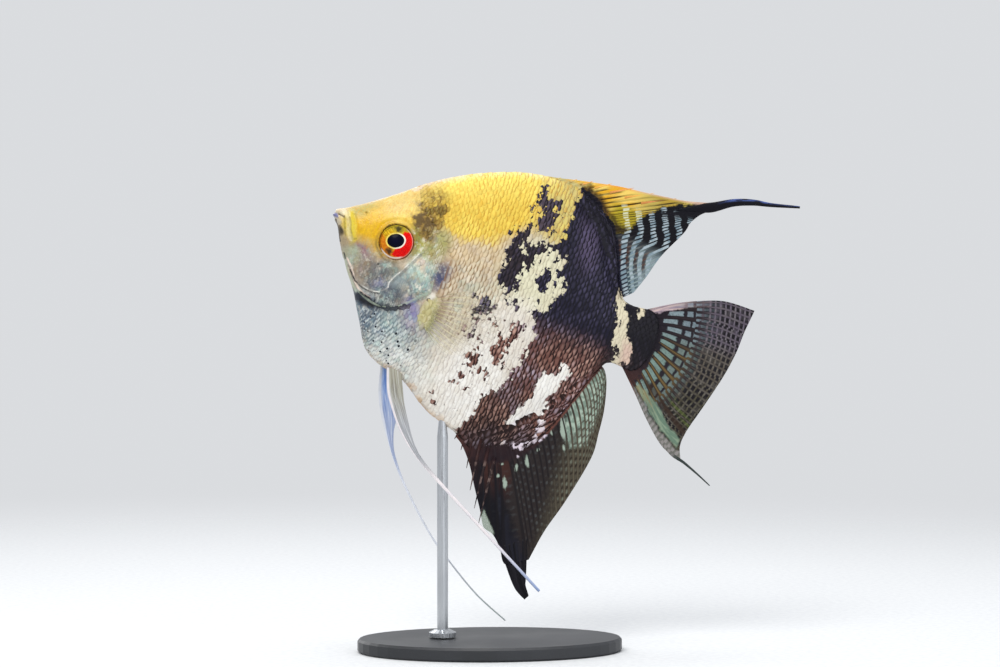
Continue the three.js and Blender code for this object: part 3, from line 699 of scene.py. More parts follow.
class Nodes:
    """Short ways to add and join the nodes of one tree. Colours are fields or hex codes."""

    def __init__(self, tree):
        self.tree = tree

    def put(self, socket, value):
        if isinstance(value, Field):
            self.tree.links.new(value.socket, socket)
        else:
            socket.default_value = (*paint(value), 1) if isinstance(value, str) else value

    def fields(self, outputs):
        """A node's outputs, by name and by number."""
        found = [Field(self, socket) for socket in outputs]
        return {**dict(enumerate(found)), **{field.socket.name: field for field in reversed(found)}}

    def add(self, kind, inputs, **settings):
        node = self.tree.nodes.new("ShaderNode" + kind)
        for name, value in settings.items():
            setattr(node, name, value)
        for name, value in inputs.items():
            self.put(node.inputs[name], value)
        return self.fields(node.outputs)

    def math(self, operation, first, second=0):
        return self.add("Math", {0: first, 1: second}, operation=operation)[0]

    def most(self, first, second):
        return self.math("MAXIMUM", first, second)

    def least(self, first, second):
        return self.math("MINIMUM", first, second)

    def fraction(self, value):
        return self.math("FRACT", value)

    def root(self, value):
        return self.math("SQRT", value)

    def step(self, value, start, end, low=0, high=1):
        inputs = {"Value": value, "From Min": start, "From Max": end, "To Min": low, "To Max": high}
        return self.add("MapRange", inputs, interpolation_type="SMOOTHSTEP")[0]

    def fade(self, value, start, end):
        return self.step(value, start, end, 1, 0)

    def between(self, value, start, end, soft):
        return (
            self.step(value, start - soft, start + soft) * self.fade(value, end - soft, end + soft)
        )

    def mix(self, share, first, second, blend="MIX"):
        inputs = {0: share, 6: first, 7: second}
        return self.add("Mix", inputs, data_type="RGBA", blend_type=blend)[2]

    def apart(self, vector):
        parts = self.add("SeparateXYZ", {0: vector})
        return parts[0], parts[1], parts[2]

    def together(self, x=0, y=0, z=0):
        return self.add("CombineXYZ", {0: x, 1: y, 2: z})[0]

    def noise(self, at, scale, detail=2, roughness=0.5):
        inputs = {"Vector": at, "Scale": scale, "Detail": detail, "Roughness": roughness}
        return self.add("TexNoise", inputs)["Fac"]

    def cells(self, at, scale):
        return self.add("TexVoronoi", {"Vector": at, "Scale": scale})

    def stored(self, name, output="Vector"):
        return self.add("Attribute", {}, attribute_name=name)[output]

    def bump(self, height, distance, strength):
        inputs = {"Height": height, "Distance": distance, "Strength": strength}
        return self.add("Bump", inputs)[0]


def spaced_names(values):
    return {name.replace("_", " "): value for name, value in values.items()}


def new_material(name):
    material = bpy.data.materials.new(name)
    material.use_nodes = True
    material.node_tree.nodes.clear()
    return material, Nodes(material.node_tree)


def surface(n, constants, **linked):
    """The material's own shader: plain numbers set on it, and what varies joined to it."""
    shader = n.add("BsdfPrincipled", {**constants, **spaced_names(linked)})
    n.add("OutputMaterial", {"Surface": shader["BSDF"]})


def new_group(name, inputs, outputs):
    """An empty node group with the given sockets: {name: (kind, default)} and {name: kind}."""
    tree = bpy.data.node_groups.new(name, "ShaderNodeTree")
    for socket, (kind, value) in inputs.items():
        made = tree.interface.new_socket(socket, in_out="INPUT", socket_type="NodeSocket" + kind)
        if value is not None:
            made.default_value = value
    for socket, kind in outputs.items():
        tree.interface.new_socket(socket, in_out="OUTPUT", socket_type="NodeSocket" + kind)
    n = Nodes(tree)
    given = n.fields(tree.nodes.new("NodeGroupInput").outputs)
    return tree, n, given, tree.nodes.new("NodeGroupOutput").inputs


def placed_group(n, tree, **inputs):
    return n.add("Group", spaced_names(inputs), node_tree=tree)


# ---- Marbling nodes -----------------------------------------------------------------------

def marbling_group():
    tree, n, given, out = new_group(
        "marbling",
        {
            "Place": ("Vector", None), "Marks": ("Vector", None), "Flecks": ("Vector", None),
            "Finish": ("Vector", None), "Pale": ("Color", None), "Deep": ("Color", None),
        },
        {"Colour": "Color", "Darkness": "Float", "Whiteness": "Float"},
    )
    place = given["Place"]
    z = n.apart(place)[2]
    dark_edge, pale_edge, smudge = n.apart(given["Marks"])
    pearl, dots, yellow = n.apart(given["Flecks"])
    lumps = n.noise(place, 0.42, 2, 0.55) - 0.5
    grit = n.noise(place, 1.15, 3, 0.65) - 0.5
    _, broken, _ = n.apart(given["Finish"])
    stray = lumps * (2.6 + broken * 5) + grit * (4 + broken * 5)
    darkness = n.step(
        dark_edge + stray + n.most(broken, 0) * n.step(z, -3, 3, -0.55, 0.1),
        -0.16, 0.24,
    )
    frayed = n.step(z, -25, -23.5, 0.3, 1)
    whiteness = n.step(pale_edge + grit * frayed * 3.4 + lumps * frayed * 1.4, -0.16, 0.24)
    mottle = n.noise(place, 1.5, 4, 0.7)
    pale = n.mix(n.step(mottle, 0.35, 0.75, 0, 0.3), given["Pale"], "8a6f52", "MULTIPLY")
    pale = n.mix(n.step(n.noise(place, 3.4, 2), 0.5, 0.75, 0, 0.2), pale, "fffbe8", "SOFT_LIGHT")
    hair = n.noise(n.add("Mapping", {"Vector": place, "Scale": (2.6, 2.6, 0.55)})[0], 1, 2)
    gold_streak = yellow * n.step(hair, 0.48, 0.68)
    pale = n.mix(gold_streak * 0.4, pale, "d6961c")
    low_down = n.step(z, 1, -3, 0.2, 0.75)
    for tone, seed, size, strength in (
        ("a6d3ca", 3, 0.38, low_down), ("8781a6", 17, 0.5, 0.35), ("b08f52", 31, 0.55, 0.45),
        ("f6efdf", 47, 0.6, 0.85), ("4c4d44", 61, 0.8, 0.5),
    ):
        at = n.add("VectorMath", {0: place, 1: (seed, seed, 0)}, operation="ADD")[0]
        patch = n.step(n.noise(at, size, 3, 0.65), 0.49, 0.68)
        pale = n.mix(pearl * patch * strength, pale, tone)
    cell = n.cells(place, 1.25)
    shine = pearl * n.fade(cell["Distance"], 0.2, 0.45) * n.step(n.noise(place, 0.9), 0.42, 0.6)
    pale = n.mix(shine * 0.45, pale, "dcefe0")
    blush = pearl * n.step(n.noise(place, 1.3, 3, 0.6), 0.58, 0.68)
    pale = n.mix(blush * 0.4, pale, "dcbfae")
    tan = n.step(n.noise(place, 0.7, 3, 0.6) + smudge * 0.4, 0.42, 0.84) * n.step(smudge, 0, 0.55)
    pale = n.mix(tan * 0.85, pale, "8e6c24")
    brown = (
        n.step(n.noise(place, 0.75, 3, 0.6) + smudge * 0.4, 0.66, 0.88) * n.step(smudge, 0.1, 0.6)
    )
    pale = n.mix(brown * 0.85, pale, n.mix(n.noise(place, 0.9, 2), "5a4412", "3c2714"))
    spot = n.cells(place, 0.78)
    spot_share = (
        n.fade(spot["Distance"], 0.22, 0.36) * n.step(n.apart(spot["Color"])[0], 0.36, 0.44)
    )
    pale = n.mix(spot_share * dots * 0.35, pale, "12141f")
    breast_patch = n.noise(place, 0.55, 4, 0.7)
    pale = n.mix(dots * n.step(breast_patch, 0.5, 0.62, 0, 0.5), pale, "5f737c")
    pale = n.mix(dots * n.step(breast_patch, 0.48, 0.36, 0, 0.6), pale, "edf4f2")
    white = n.mix(n.step(n.noise(place, 1.1, 3, 0.7), 0.5, 0.78, 0, 0.2), given["Pale"], "dccbbd")
    deep = n.mix(n.step(n.noise(place, 0.9, 3, 0.6), 0.4, 0.7, 0, 0.35), given["Deep"], "15101a")
    colour = n.mix(darkness, pale, deep)
    colour = n.mix(whiteness, colour, white)
    n.put(out["Colour"], colour)
    n.put(out["Darkness"], darkness * (1 - whiteness))
    n.put(out["Whiteness"], whiteness)
    return tree


MARBLING = marbling_group()


def marbled(n):
    return placed_group(
        n, MARBLING, Place=n.stored("place"), Marks=n.stored("marks"), Flecks=n.stored("flecks"),
        Finish=n.stored("finish"), Pale=n.stored("pale_tint", "Color"),
        Deep=n.stored("deep_tint", "Color"),
    )


def skin_material():
    material, n = new_material("fish_skin")
    marks = marbled(n)
    place = n.stored("place")
    ridge_highlight_line, hollow_shade_line, warm_line = n.apart(n.stored("lines"))
    gap_shade, corner, rim_line = n.apart(n.stored("folds"))
    fleck = n.noise(place, 1.9, 3, 0.6)
    uneven = n.step(fleck, 0.35, 0.65, 0.55, 1)
    mouth_crease_shade, gill_shadow_core, shadow_line = n.apart(n.stored("creases"))

    def drawn(colour, distance, reach, strength, code):
        share = n.fade(distance, reach * 0.35, reach) * uneven * strength
        return n.mix(share, colour, code)

    colour = drawn(marks["Colour"], gap_shade, 1.4, 0.95, "181d2c")
    cream_pleat, yellow_pleat, groove = n.apart(n.stored("pleats"))
    ruffle = (n.noise(place, 0.9, 3) - 0.5) * 0.9
    colour = drawn(colour, yellow_pleat + ruffle, 0.9, 0.6, "e2cc2c")
    colour = drawn(colour, cream_pleat + ruffle, 0.7, 0.55, "f0e8c2")
    # Painted shade between the pleats of the upper jaw.
    colour = drawn(colour, groove + ruffle * 0.3, 0.3, 0.6, "85752a")
    # Painted shade: a dark patch under the end of the upper jaw, at the mouth's corner.
    colour = drawn(colour, corner, 0.5, 0.75, "2b261c")
    colour = drawn(colour, shadow_line, 0.5, 0.6, "5d6468")
    colour = drawn(colour, rim_line, 0.36, 0.7, "b9c6ae")
    colour = drawn(colour, warm_line, 0.28, 1, "efdaca")
    patchy = n.step(n.noise(place, 0.75, 2), 0.42, 0.58, 0.15, 0.9)
    # Painted highlight along the preopercle ridge and just above the jaw groove.
    colour = drawn(colour, ridge_highlight_line, 0.22, patchy, "efede4")
    # Painted shadow: a near-black band under the rim of the gill cover.
    colour = drawn(colour, gill_shadow_core, 0.5, 1.3, "0d0f16")
    # Painted shade in the jaw groove, along the chin's edge, in the gap under the jaw, and in the pores
    # and nostril.
    colour = drawn(colour, hollow_shade_line, 0.26, 1.1, "1b1916")
    # Painted shade: a thin brown line in the crease under the upper lip.
    colour = drawn(colour, mouth_crease_shade, 0.26, 0.9, "5c4630")
    pit = n.cells(place, 3.2)["Distance"]
    height = pit * 0.5 + n.noise(place, 6, 3)
    roughness = n.step(n.noise(place, 1.8, 2), 0.3, 0.7, 0.32, 0.48)
    surface(
        n, {"Coat Weight": 0.16, "Coat Roughness": 0.14, "Specular IOR Level": 0.25},
        Base_Color=colour, Roughness=roughness, Normal=n.bump(height, 6e-05, 0.7),
    )
    return material


def scale_material():
    material, n = new_material("fish_scales")
    marks = marbled(n)
    along, across, chance = n.apart(n.stored("lie"))
    place = n.stored("place")
    z = n.apart(place)[2]
    _, dots, yellow = n.apart(n.stored("flecks"))
    darkness = marks["Darkness"]
    light = 1 - darkness
    outline, _, tail = n.apart(n.stored("finish"))
    ragged = (n.noise(place, 1.1) - 0.5) * 0.14
    rim = n.step(along + ragged, 0.86, 0.96)
    outline = outline * n.step(n.noise(place, 0.35, 2), 0.35, 0.65, 0.5, 1.5)
    heart = n.between(along + ragged, 0.66, 0.88, 0.07)
    # Painted shade on the front of each scale, just behind the scale before it.
    shade = n.step(along, 0.66, 0.5)
    off_middle = abs(across)
    colour = n.mix(n.step(chance, 0, 1, 0, 0.1), marks["Colour"], "7d6a56", "MULTIPLY")
    flank = light * (1 - yellow) * outline
    # The scales' brown outlines at the free edge, with the painted shade in front.
    colour = n.mix(n.most(rim, shade * 0.7) * flank * 0.85, colour, "8d683e")
    colour = n.mix(
        heart * flank * n.step(off_middle, 0.3, 0.9, 0.7, 0.1) * n.step(chance, 0, 1, 0.45, 1),
        colour, "efe2c8",
    )
    colour = n.mix(rim * light * yellow * outline, colour, "c07f14")
    colour = n.mix(heart * light * yellow * outline, colour, "f9e26a")
    breast = dots * light
    # On the breast: blue-grey outlines, with the same painted shade.
    colour = n.mix(n.most(rim, shade) * breast * 0.32, colour, "5b6f86")
    colour = n.mix(heart * breast * n.step(chance, 0, 1, 0, 0.5), colour, "e6f0f0")
    off_spot = n.root(((along - 0.74) * 2.6) ** 2 + across ** 2)
    spot = n.step(off_spot, 0.4, 0.22) * n.step(chance, 0.84, 0.94) * breast
    colour = n.mix(spot * 1.6, colour, "0f1320")
    low = n.step(z, -1.5, -8.5)
    glint = n.between(along + ragged, 0.66, 0.86, 0.06) * n.step(off_middle, 0.1, 0.7, 1, 0.1)
    glint = glint * darkness * n.step(chance, 0, 1, 0.2, 1) * n.step(low, 0, 1, 0.3, 0.85)
    glint = (
        glint * n.step(z, -26, -32, 1, 0.45) * n.step(n.noise(place, 0.14, 2), 0.38, 0.64, 0.6, 1.3)
        * n.step(tail, 0, 1, 1, 0.15)
    )
    ruddy = n.mix(n.step(n.noise(place, 0.13, 2), 0.42, 0.6), "cca292", "aa9cab")
    colour = n.mix(glint, colour, n.mix(low, "6a6488", ruddy))
    # On the dark scales: a near-black outline at the free edge, and painted shade on the front under the
    # scale before.
    edge = n.most(n.step(along + ragged, 0.85, 0.93), n.step(along, 0.6, 0.48))
    colour = n.mix(edge * darkness * 0.92, colour, n.mix(low, "0d0a16", "1c0c0b"))
    rings = n.math("SINE", along * 95)
    height = rings * 0.3 + n.noise(place, 5, 2)
    roughness = n.step(n.noise(place, 2) + chance * 0.3, 0.3, 0.9, 0.28, 0.5)
    surface(
        n, {"Coat Weight": 0.08, "Coat Roughness": 0.12, "Specular IOR Level": 0.14},
        Base_Color=colour, Roughness=roughness, Normal=n.bump(height, 3e-05, 0.6),
    )
    return material


# ---- The skin -----------------------------------------------------------------------------

MAP_MARGIN = 0.02  # the empty edge round each half of the unwrapped skin


def map_place(station, ring, right):
    """A place on the unwrapped skin: the left half lies low on the map, the right half high."""
    share = np.where(right, RING - ring, ring) / (RING // 2)
    along = MAP_MARGIN + (1 - 2 * MAP_MARGIN) * station / STATIONS
    return np.stack([along, MAP_MARGIN + (0.5 - 2 * MAP_MARGIN) * share + 0.5 * right], -1)


def make_skin(material):
    bm = bmesh.new()
    bmesh.ops.create_uvsphere(bm, u_segments=RING, v_segments=STATIONS, radius=1)
    bm.verts.ensure_lookup_table()
    at = np.array([v.co for v in bm.verts])
    station = np.rint(np.arccos(np.clip(at[:, 2], -1, 1)) / math.pi * STATIONS).astype(int)
    ring = np.rint(np.arctan2(at[:, 1], at[:, 0]) / (2 * math.pi) * RING).astype(int) % RING
    places = SKIN[station, ring]
    for vertex, place in zip(bm.verts, world(places)):
        vertex.co = place
    bmesh.ops.recalc_face_normals(bm, faces=bm.faces)
    mesh = mesh_of("fish_skin", bm)
    values = markings(places)
    x, z = places[:, 0], places[:, 2]

    def nearest(*paths):
        return np.min(np.stack([path_distance(x, z, path) for path in paths]), 0)

    # Painted highlight along the preopercle ridge and just above the jaw groove.
    jaw_arc_highlight = shifted(JAW_ARC[2:], 0, 0.34)
    # Painted shade in the jaw groove, along the chin's edge, in the gap under the jaw, and in the pores,
    # the nostril and a pit by the pectoral fin's root.
    hollow_shade_line = nearest(JAW_ARC, CHIN_EDGE, [(4.4, -6.9), (5.2, -8)])
    for spot_x, spot_z, size in ((*CHEEK_PORE, 0.12), (*NOSTRIL, -0.08), (25.0, -9.7, 0.3)):
        hollow_shade_line = np.minimum(hollow_shade_line, np.hypot(x - spot_x, z - spot_z) - size)
    values["lines"] = np.stack([nearest(PREOPERCLE, jaw_arc_highlight), hollow_shade_line, nearest(FACE_RIM)], -1)
    behind_line = nearest(shifted(PREOPERCLE, 0.42, -0.1))
    # Painted shadow under the gill cover: along the gill gap and just above the plate's edge.
    gill_shadow_line = np.minimum(
        nearest(GILL_GAP) + 0.35 * smoothstep(x, 17, 23), nearest(GILL_SHADOW) + 0.1,
    )
    # The creases carry painted shade: in the mouth's crease, under the gill cover and behind the
    # preopercle.
    values["creases"] = np.stack([nearest([(0.3, 0.4), (1.5, 0.32)]), gill_shadow_line, behind_line], -1)
    gap_shade = nearest([(10.9, -14.5), (13, -15), (15.5, -15.3), (18.4, -14.8)])
    # Where the painted shade under the end of the upper jaw lies.
    corner = nearest([(1.5, -1.9), (2.2, -2.9)])
    values["folds"] = np.stack([gap_shade, corner, nearest(GILL_EDGE[5:], THROAT_LINE)], -1)
    values["pleats"] = np.stack(
        [nearest(CREAM_PLEAT), nearest(YELLOW_PLEAT), nearest(*PLEAT_SHADE_LINES)],
        -1,
    )
    add_attributes(mesh, values)
    corners = read_all(mesh.loops, "vertex_index")
    turn = ring[corners]
    starts = read_all(mesh.polygons, "loop_start")
    face = np.repeat(np.arange(len(starts)), read_all(mesh.polygons, "loop_total"))
    low = np.minimum.reduceat(turn, starts)[face]
    high = np.maximum.reduceat(turn, starts)[face]
    wrapped = high - low > RING // 2
    right = (high > RING // 2) | (wrapped & (low == 0))
    turn = np.where(wrapped & (turn == 0), RING, turn)
    add_map(mesh, "OFBake", map_place(station[corners], turn, right))
    flesh = (
        "head", "upper_jaw", "lower_jaw", "gill_cover_left", "gill_cover_right", "trunk", "tail",
    )
    new_piece("fish_skin", mesh, material, flesh)


# ---- The coat of scales -------------------------------------------------------------------

SCALE_ROWS = [(0.0, 0.56), (0.34, 0.9), (0.6, 1.0), (0.8, 0.88), (0.93, 0.6), (1.0, 0.24)]
SCALE_COLUMNS = 5
SCALE_THICKNESS = 0.03
SCALE_LIFT = 0.085
BAKE_PATCH = 0.003  # each scale's width on the skin's map
SHOWN_POINT = 20  # the template's point in the middle of the part left uncovered


def scale_template():
    """One scale: its points as along, across and layer, and its faces."""
    top = [
        (a, (2 * c / SCALE_COLUMNS - 1) * w, 1) for a, w in SCALE_ROWS
        for c in range(SCALE_COLUMNS + 1)
    ]
    across = SCALE_COLUMNS + 1
    rows = len(SCALE_ROWS)
    faces = []
    for r in range(rows - 1):
        for c in range(SCALE_COLUMNS):
            i = r * across + c
            faces.append((i, i + across, i + across + 1, i + 1))
    rim = list(range(across)) + [r * across + across - 1 for r in range(1, rows)]
    rim += (
        [(rows - 1) * across + c for c in range(across - 2, -1, -1)]
        + [r * across for r in range(rows - 2, 0, -1)]
    )
    under = [(top[i][0], top[i][1], 0) for i in rim]
    first = len(top)
    for i in range(len(rim)):
        j = (i + 1) % len(rim)
        faces.append((rim[i], rim[j], first + j, first + i))
    faces.append(tuple(range(first, first + len(rim))))
    return np.array(top + under, float), faces, len(rim)


def read_grid(grid, station, ring):
    """A grid's value between its stations and rings."""
    k = np.clip(station, 1, STATIONS - 1.001)
    k0 = np.floor(k).astype(int)
    j0 = np.floor(ring).astype(int)
    past_k, past_j = (k - k0)[..., None], (ring - j0)[..., None]
    a, b = grid[k0, j0 % RING], grid[k0, (j0 + 1) % RING]
    c, d = grid[k0 + 1, j0 % RING], grid[k0 + 1, (j0 + 1) % RING]
    return lerp(lerp(a, b, past_j), lerp(c, d, past_j), past_k)


def spaced(start, end, spacing):
    """Places from start to end whose spacing varies along the way."""
    places = [start]
    while places[-1] < end:
        places.append(places[-1] + float(spacing(places[-1])))
    return places


ROW_LINE = -1.5  # scale rows are counted from this height on the flank
MOST_ROWS_UP = 40.0  # the tallest that the body is over or under that line
COAT_FRONT, COAT_SPLIT, COAT_REAR = 2.0, 36.0, 74.0  # where the coat's pieces start and end
LEAST_CLEARANCE = 0.25  # between a scale's root and the edge of the back or the belly


def lattice(column_gap, row_gap, wanted):
    """Scale roots as station, ring, size and side, in staggered rows where they are wanted."""
    half = RING // 2
    columns = spaced(COAT_FRONT, COAT_REAR, column_gap)
    ups = spaced(0.0, MOST_ROWS_UP, row_gap)
    rows = [-u for u in ups[:0:-1]] + ups
    found = []
    for x in columns:
        for odd in (0, 1):
            shift = column_gap(x) / 2 if odd else 0
            station = float(np.interp(x + shift, SKIN_X, np.arange(STATIONS + 1)))
            if not 1 < station < STATIONS - 2:
                continue
            ring = read_grid(SKIN, np.full(half + 1, station), np.arange(half + 1.0))
            run = np.concatenate([[0], np.cumsum(np.linalg.norm(np.diff(ring, axis=0), axis=1))])
            middle = np.interp(-ROW_LINE, -ring[:, 2], run)
            levels = middle - np.array(rows[odd::2])
            inside = (levels > LEAST_CLEARANCE) & (levels < run[-1] - LEAST_CLEARANCE)
            at = np.interp(levels[inside], run, np.arange(half + 1.0))
            z = np.interp(at, np.arange(half + 1.0), ring[:, 2])
            keep = wanted(np.full(len(at), x + shift), z)
            size = np.full(keep.sum(), column_gap(x))
            for side, place in enumerate((at[keep], RING - at[keep])):
                found.append(np.stack([size * 0 + station, place, size, size * 0 + side], -1))
    return np.concatenate(found)


# Where the scaled body starts behind the head, as z and x.
HEAD_EDGE = np.array([
    (-30, 9.0), (-19, 11), (-15.4, 13.5), (-12, 21.6), (-8.4, 24.9), (-3, 24.8), (1, 25),
    (4.6, 21.4), (8, 15.5), (13, 12), (17, 12),
])


def edge_of_head(z):
    return np.interp(z, *HEAD_EDGE.T)


def scale_tilt(x, z):
    """How far the scales at a place turn up towards the back, in degrees."""
    rear = smoothstep(x, 42, 50)
    rising = 38 * smoothstep(z - BACK(x) + 3.5, 0, 5) * rear
    falling = 34 * smoothstep(BELLY(x) + 3 - z, 0, 4) * rear
    breast = 22 * smoothstep(-z, 12, 24) * (1 - smoothstep(x, 20, 32))
    nape = 26 * smoothstep(z, 5, 16) * (1 - smoothstep(x, 22, 34))
    return rising - falling - breast + nape


def settled_on_skin(wanted, station, ring):
    """The stations and rings of the skin's places nearest the wanted ones, from a first guess."""
    for _ in range(4):
        skin = read_grid(SKIN, station, ring)
        per_k = read_grid(SKIN, station + 0.4, ring) - read_grid(SKIN, station - 0.4, ring)
        per_j = read_grid(SKIN, station, ring + 0.4) - read_grid(SKIN, station, ring - 0.4)
        kk, jj, kj = (per_k ** 2).sum(-1), (per_j ** 2).sum(-1), (per_k * per_j).sum(-1)
        to_k, to_j = ((wanted - skin) * per_k).sum(-1), ((wanted - skin) * per_j).sum(-1)
        settle = np.maximum(kk * jj - kj ** 2, 1e-12) / 0.8
        station = station + np.clip((to_k * jj - to_j * kj) / settle, -6, 6)
        ring = ring + np.clip((to_j * kk - to_k * kj) / settle, -6, 6)
    return station, ring


def tile_mesh(name, places, faces, flat_faces):
    """One mesh of many like tiles, each tile's last faces flat, and the point at each corner."""
    count, points = places.shape[:2]
    one_tile = np.concatenate([np.array(face) for face in faces])
    corners = (one_tile[None] + (np.arange(count) * points)[:, None]).ravel()
    lengths = np.tile([len(face) for face in faces], count)
    starts = np.concatenate([[0], np.cumsum(lengths)[:-1]])
    mesh = bpy.data.meshes.new(name)
    mesh.vertices.add(count * points)
    mesh.vertices.foreach_set("co", world(places).astype(np.float32).ravel())
    mesh.loops.add(len(corners))
    mesh.loops.foreach_set("vertex_index", corners.astype(np.int32))
    mesh.polygons.add(len(lengths))
    mesh.polygons.foreach_set("loop_start", starts.astype(np.int32))
    mesh.update(calc_edges=True)
    tops = np.tile(np.arange(len(faces)) < len(faces) - flat_faces, count)
    mesh.polygons.foreach_set("use_smooth", tops)
    return mesh, corners


def coat_piece(name, roots, length, width, lift, material, seed):
    """Scales as one piece: thin solid tiles that overlap towards the tail and follow the skin."""
    chance = np.random.default_rng(seed)
    template, faces, rim = scale_template()
    count, points = len(roots), len(template)
    along, across, layer = template.T
    station, ring, size = roots[:, 0], roots[:, 1], roots[:, 2]
    here = read_grid(SKIN, station, ring)
    out = read_grid(SKIN_NORMALS, station, ring)
    out /= np.linalg.norm(out, axis=1, keepdims=True)
    x, z = here[:, 0], here[:, 2]
    tilt = np.radians(scale_tilt(x, z) + chance.normal(0, 3, count))
    lie = np.stack([np.cos(tilt), np.zeros(count), np.sin(tilt)], -1)
    lie -= out * (lie * out).sum(1, keepdims=True)
    lie /= np.linalg.norm(lie, axis=1, keepdims=True)
    beside = np.cross(out, lie)
    scale = size * (1 + chance.normal(0, 0.05, count))
    reach = (length * scale)[:, None] * along
    spread = (width * scale / 2)[:, None] * across
    wanted = here[:, None] + (reach[..., None] * lie[:, None] + spread[..., None] * beside[:, None])
    at_k, at_j = settled_on_skin(
        wanted, np.repeat(station[:, None], points, 1), np.repeat(ring[:, None], points, 1),
    )
    skin = read_grid(SKIN, at_k, at_j)
    normal = read_grid(SKIN_NORMALS, at_k, at_j)
    rise_to_edge = along - 0.12 + 0.1 * np.sin(along * math.pi) - 0.22 * across ** 2
    height = (lift * scale)[:, None] * rise_to_edge + SCALE_THICKNESS * (layer - 0.3)
    # The first scales behind the head rise out of the skin.
    foremost = 1 - smoothstep(x - edge_of_head(z), 0.9, 2.4)
    height = height - 0.3 * foremost[:, None] * np.maximum(0.62 - along, 0)
    places = skin + normal * height[..., None]
    mesh, corners = tile_mesh(name, places, faces, rim + 1)
    seen = lerp(places, skin[:, [SHOWN_POINT]], 0.6)
    values = markings(seen.reshape(-1, 3))
    luck = np.repeat(chance.random(count), points)
    values["lie"] = np.stack([np.tile(along, count), np.tile(across, count), luck], -1)
    add_attributes(mesh, values)
    turn = np.mod(ring, RING)
    root_map = map_place(station, turn, turn > RING // 2)
    local = np.stack([along - 0.5, across / 2], -1) * BAKE_PATCH
    add_map(mesh, "OFBake", root_map[corners // points] + local[corners % points])
    new_piece(name, mesh, material)


def on_body(x, z):
    clear = inside_by(x, z, [(24.4, -8), (27.2, -8), (27.4, -15.8), (24.8, -16)]) < 0
    return (x > edge_of_head(z)) & clear & (x < 73.5)


def on_cheek(x, z):
    paths = (PREOPERCLE, GILL_EDGE, JAW_ARC, GILL_GAP)
    bare = [path_distance(x + shift, z, path) for path in paths for shift in (0, 0.5, 1.0)]
    plate = inside_by(x, z, GILL_PLATE) > 0.6
    cheek = inside_by(x, z, CHEEK) > 0
    behind = inside_by(x, z, BEHIND_EYE) > 0
    return (plate | cheek | behind) & (np.min(bare, 0) > 0.55) & (eye_distance(x, z) > 5)


def on_sheath(x, z):
    top = (z > BACK(x) - 1.4) & (x > 45) & (x < 66)
    low = (z < BELLY(x) + 1.2) & (x > 46) & (x < 66)
    return top | low


def body_gap(x):
    gap = 1.5 * lerp(0.5, 1.0, float(smoothstep(x, 12, 34)))
    return gap * lerp(1.0, 0.8, float(smoothstep(x, 60, 72)))


def row_gap(up):
    return 0.84 * lerp(1.0, 0.76, float(smoothstep(up, 14, 27)))


def make_coat(material):
    body = lattice(body_gap, row_gap, on_body)
    sheath = lattice(lambda x: 0.95, lambda up: 0.62, on_sheath)
    cheek = lattice(lambda x: 0.82, lambda up: 0.5, on_cheek)
    middle = float(np.interp(COAT_SPLIT, SKIN_X, np.arange(STATIONS + 1)))
    for side, word in enumerate(("left", "right")):
        mine = body[body[:, 3] == side]
        parts = (("front", mine[mine[:, 0] < middle], 21), ("rear", mine[mine[:, 0] >= middle], 31))
        for part, roots, seed in parts:
            name = "body_scales_" + part + "_" + word
            coat_piece(name, roots, 1.95, 1.85, SCALE_LIFT, material, seed + side)
    coat_piece("sheath_scales", sheath, 1.8, 1.9, 0.12, material, 41)
    coat_piece("cheek_scales", cheek, 1.7, 1.7, 0.07, material, 51)


# ---- Eyes ---------------------------------------------------------------------------------

PUPIL_RADIUS = 1.68
EYE_STEPS = 96


def eye_profile():
    """The eyeball's half outline, as radius and height along its axis from front to back."""
    radii = np.concatenate([np.linspace(0, 3.86, 40), [3.93, 3.98]])
    height = EYE_DEPTH * np.sqrt(1 - (radii / EYE_RADIUS) ** 2) - 0.7
    height += 0.10 * (1 - np.minimum(radii / PUPIL_RADIUS, 1) ** 2)
    height += 0.07 * ridge(radii - 2.0, 0.16) - 0.06 * ridge(radii - 1.74, 0.08)
    height -= 0.09 * ridge(radii - 2.75, 0.55)
    height += 0.05 * ridge(radii - 3.62, 0.14)
    back = [(4.0, -0.7), (3.8, -1.4), (3.1, -2.1), (2.0, -2.6), (1.0, -2.85), (0, -2.9)]
    return list(zip(radii, height)) + back


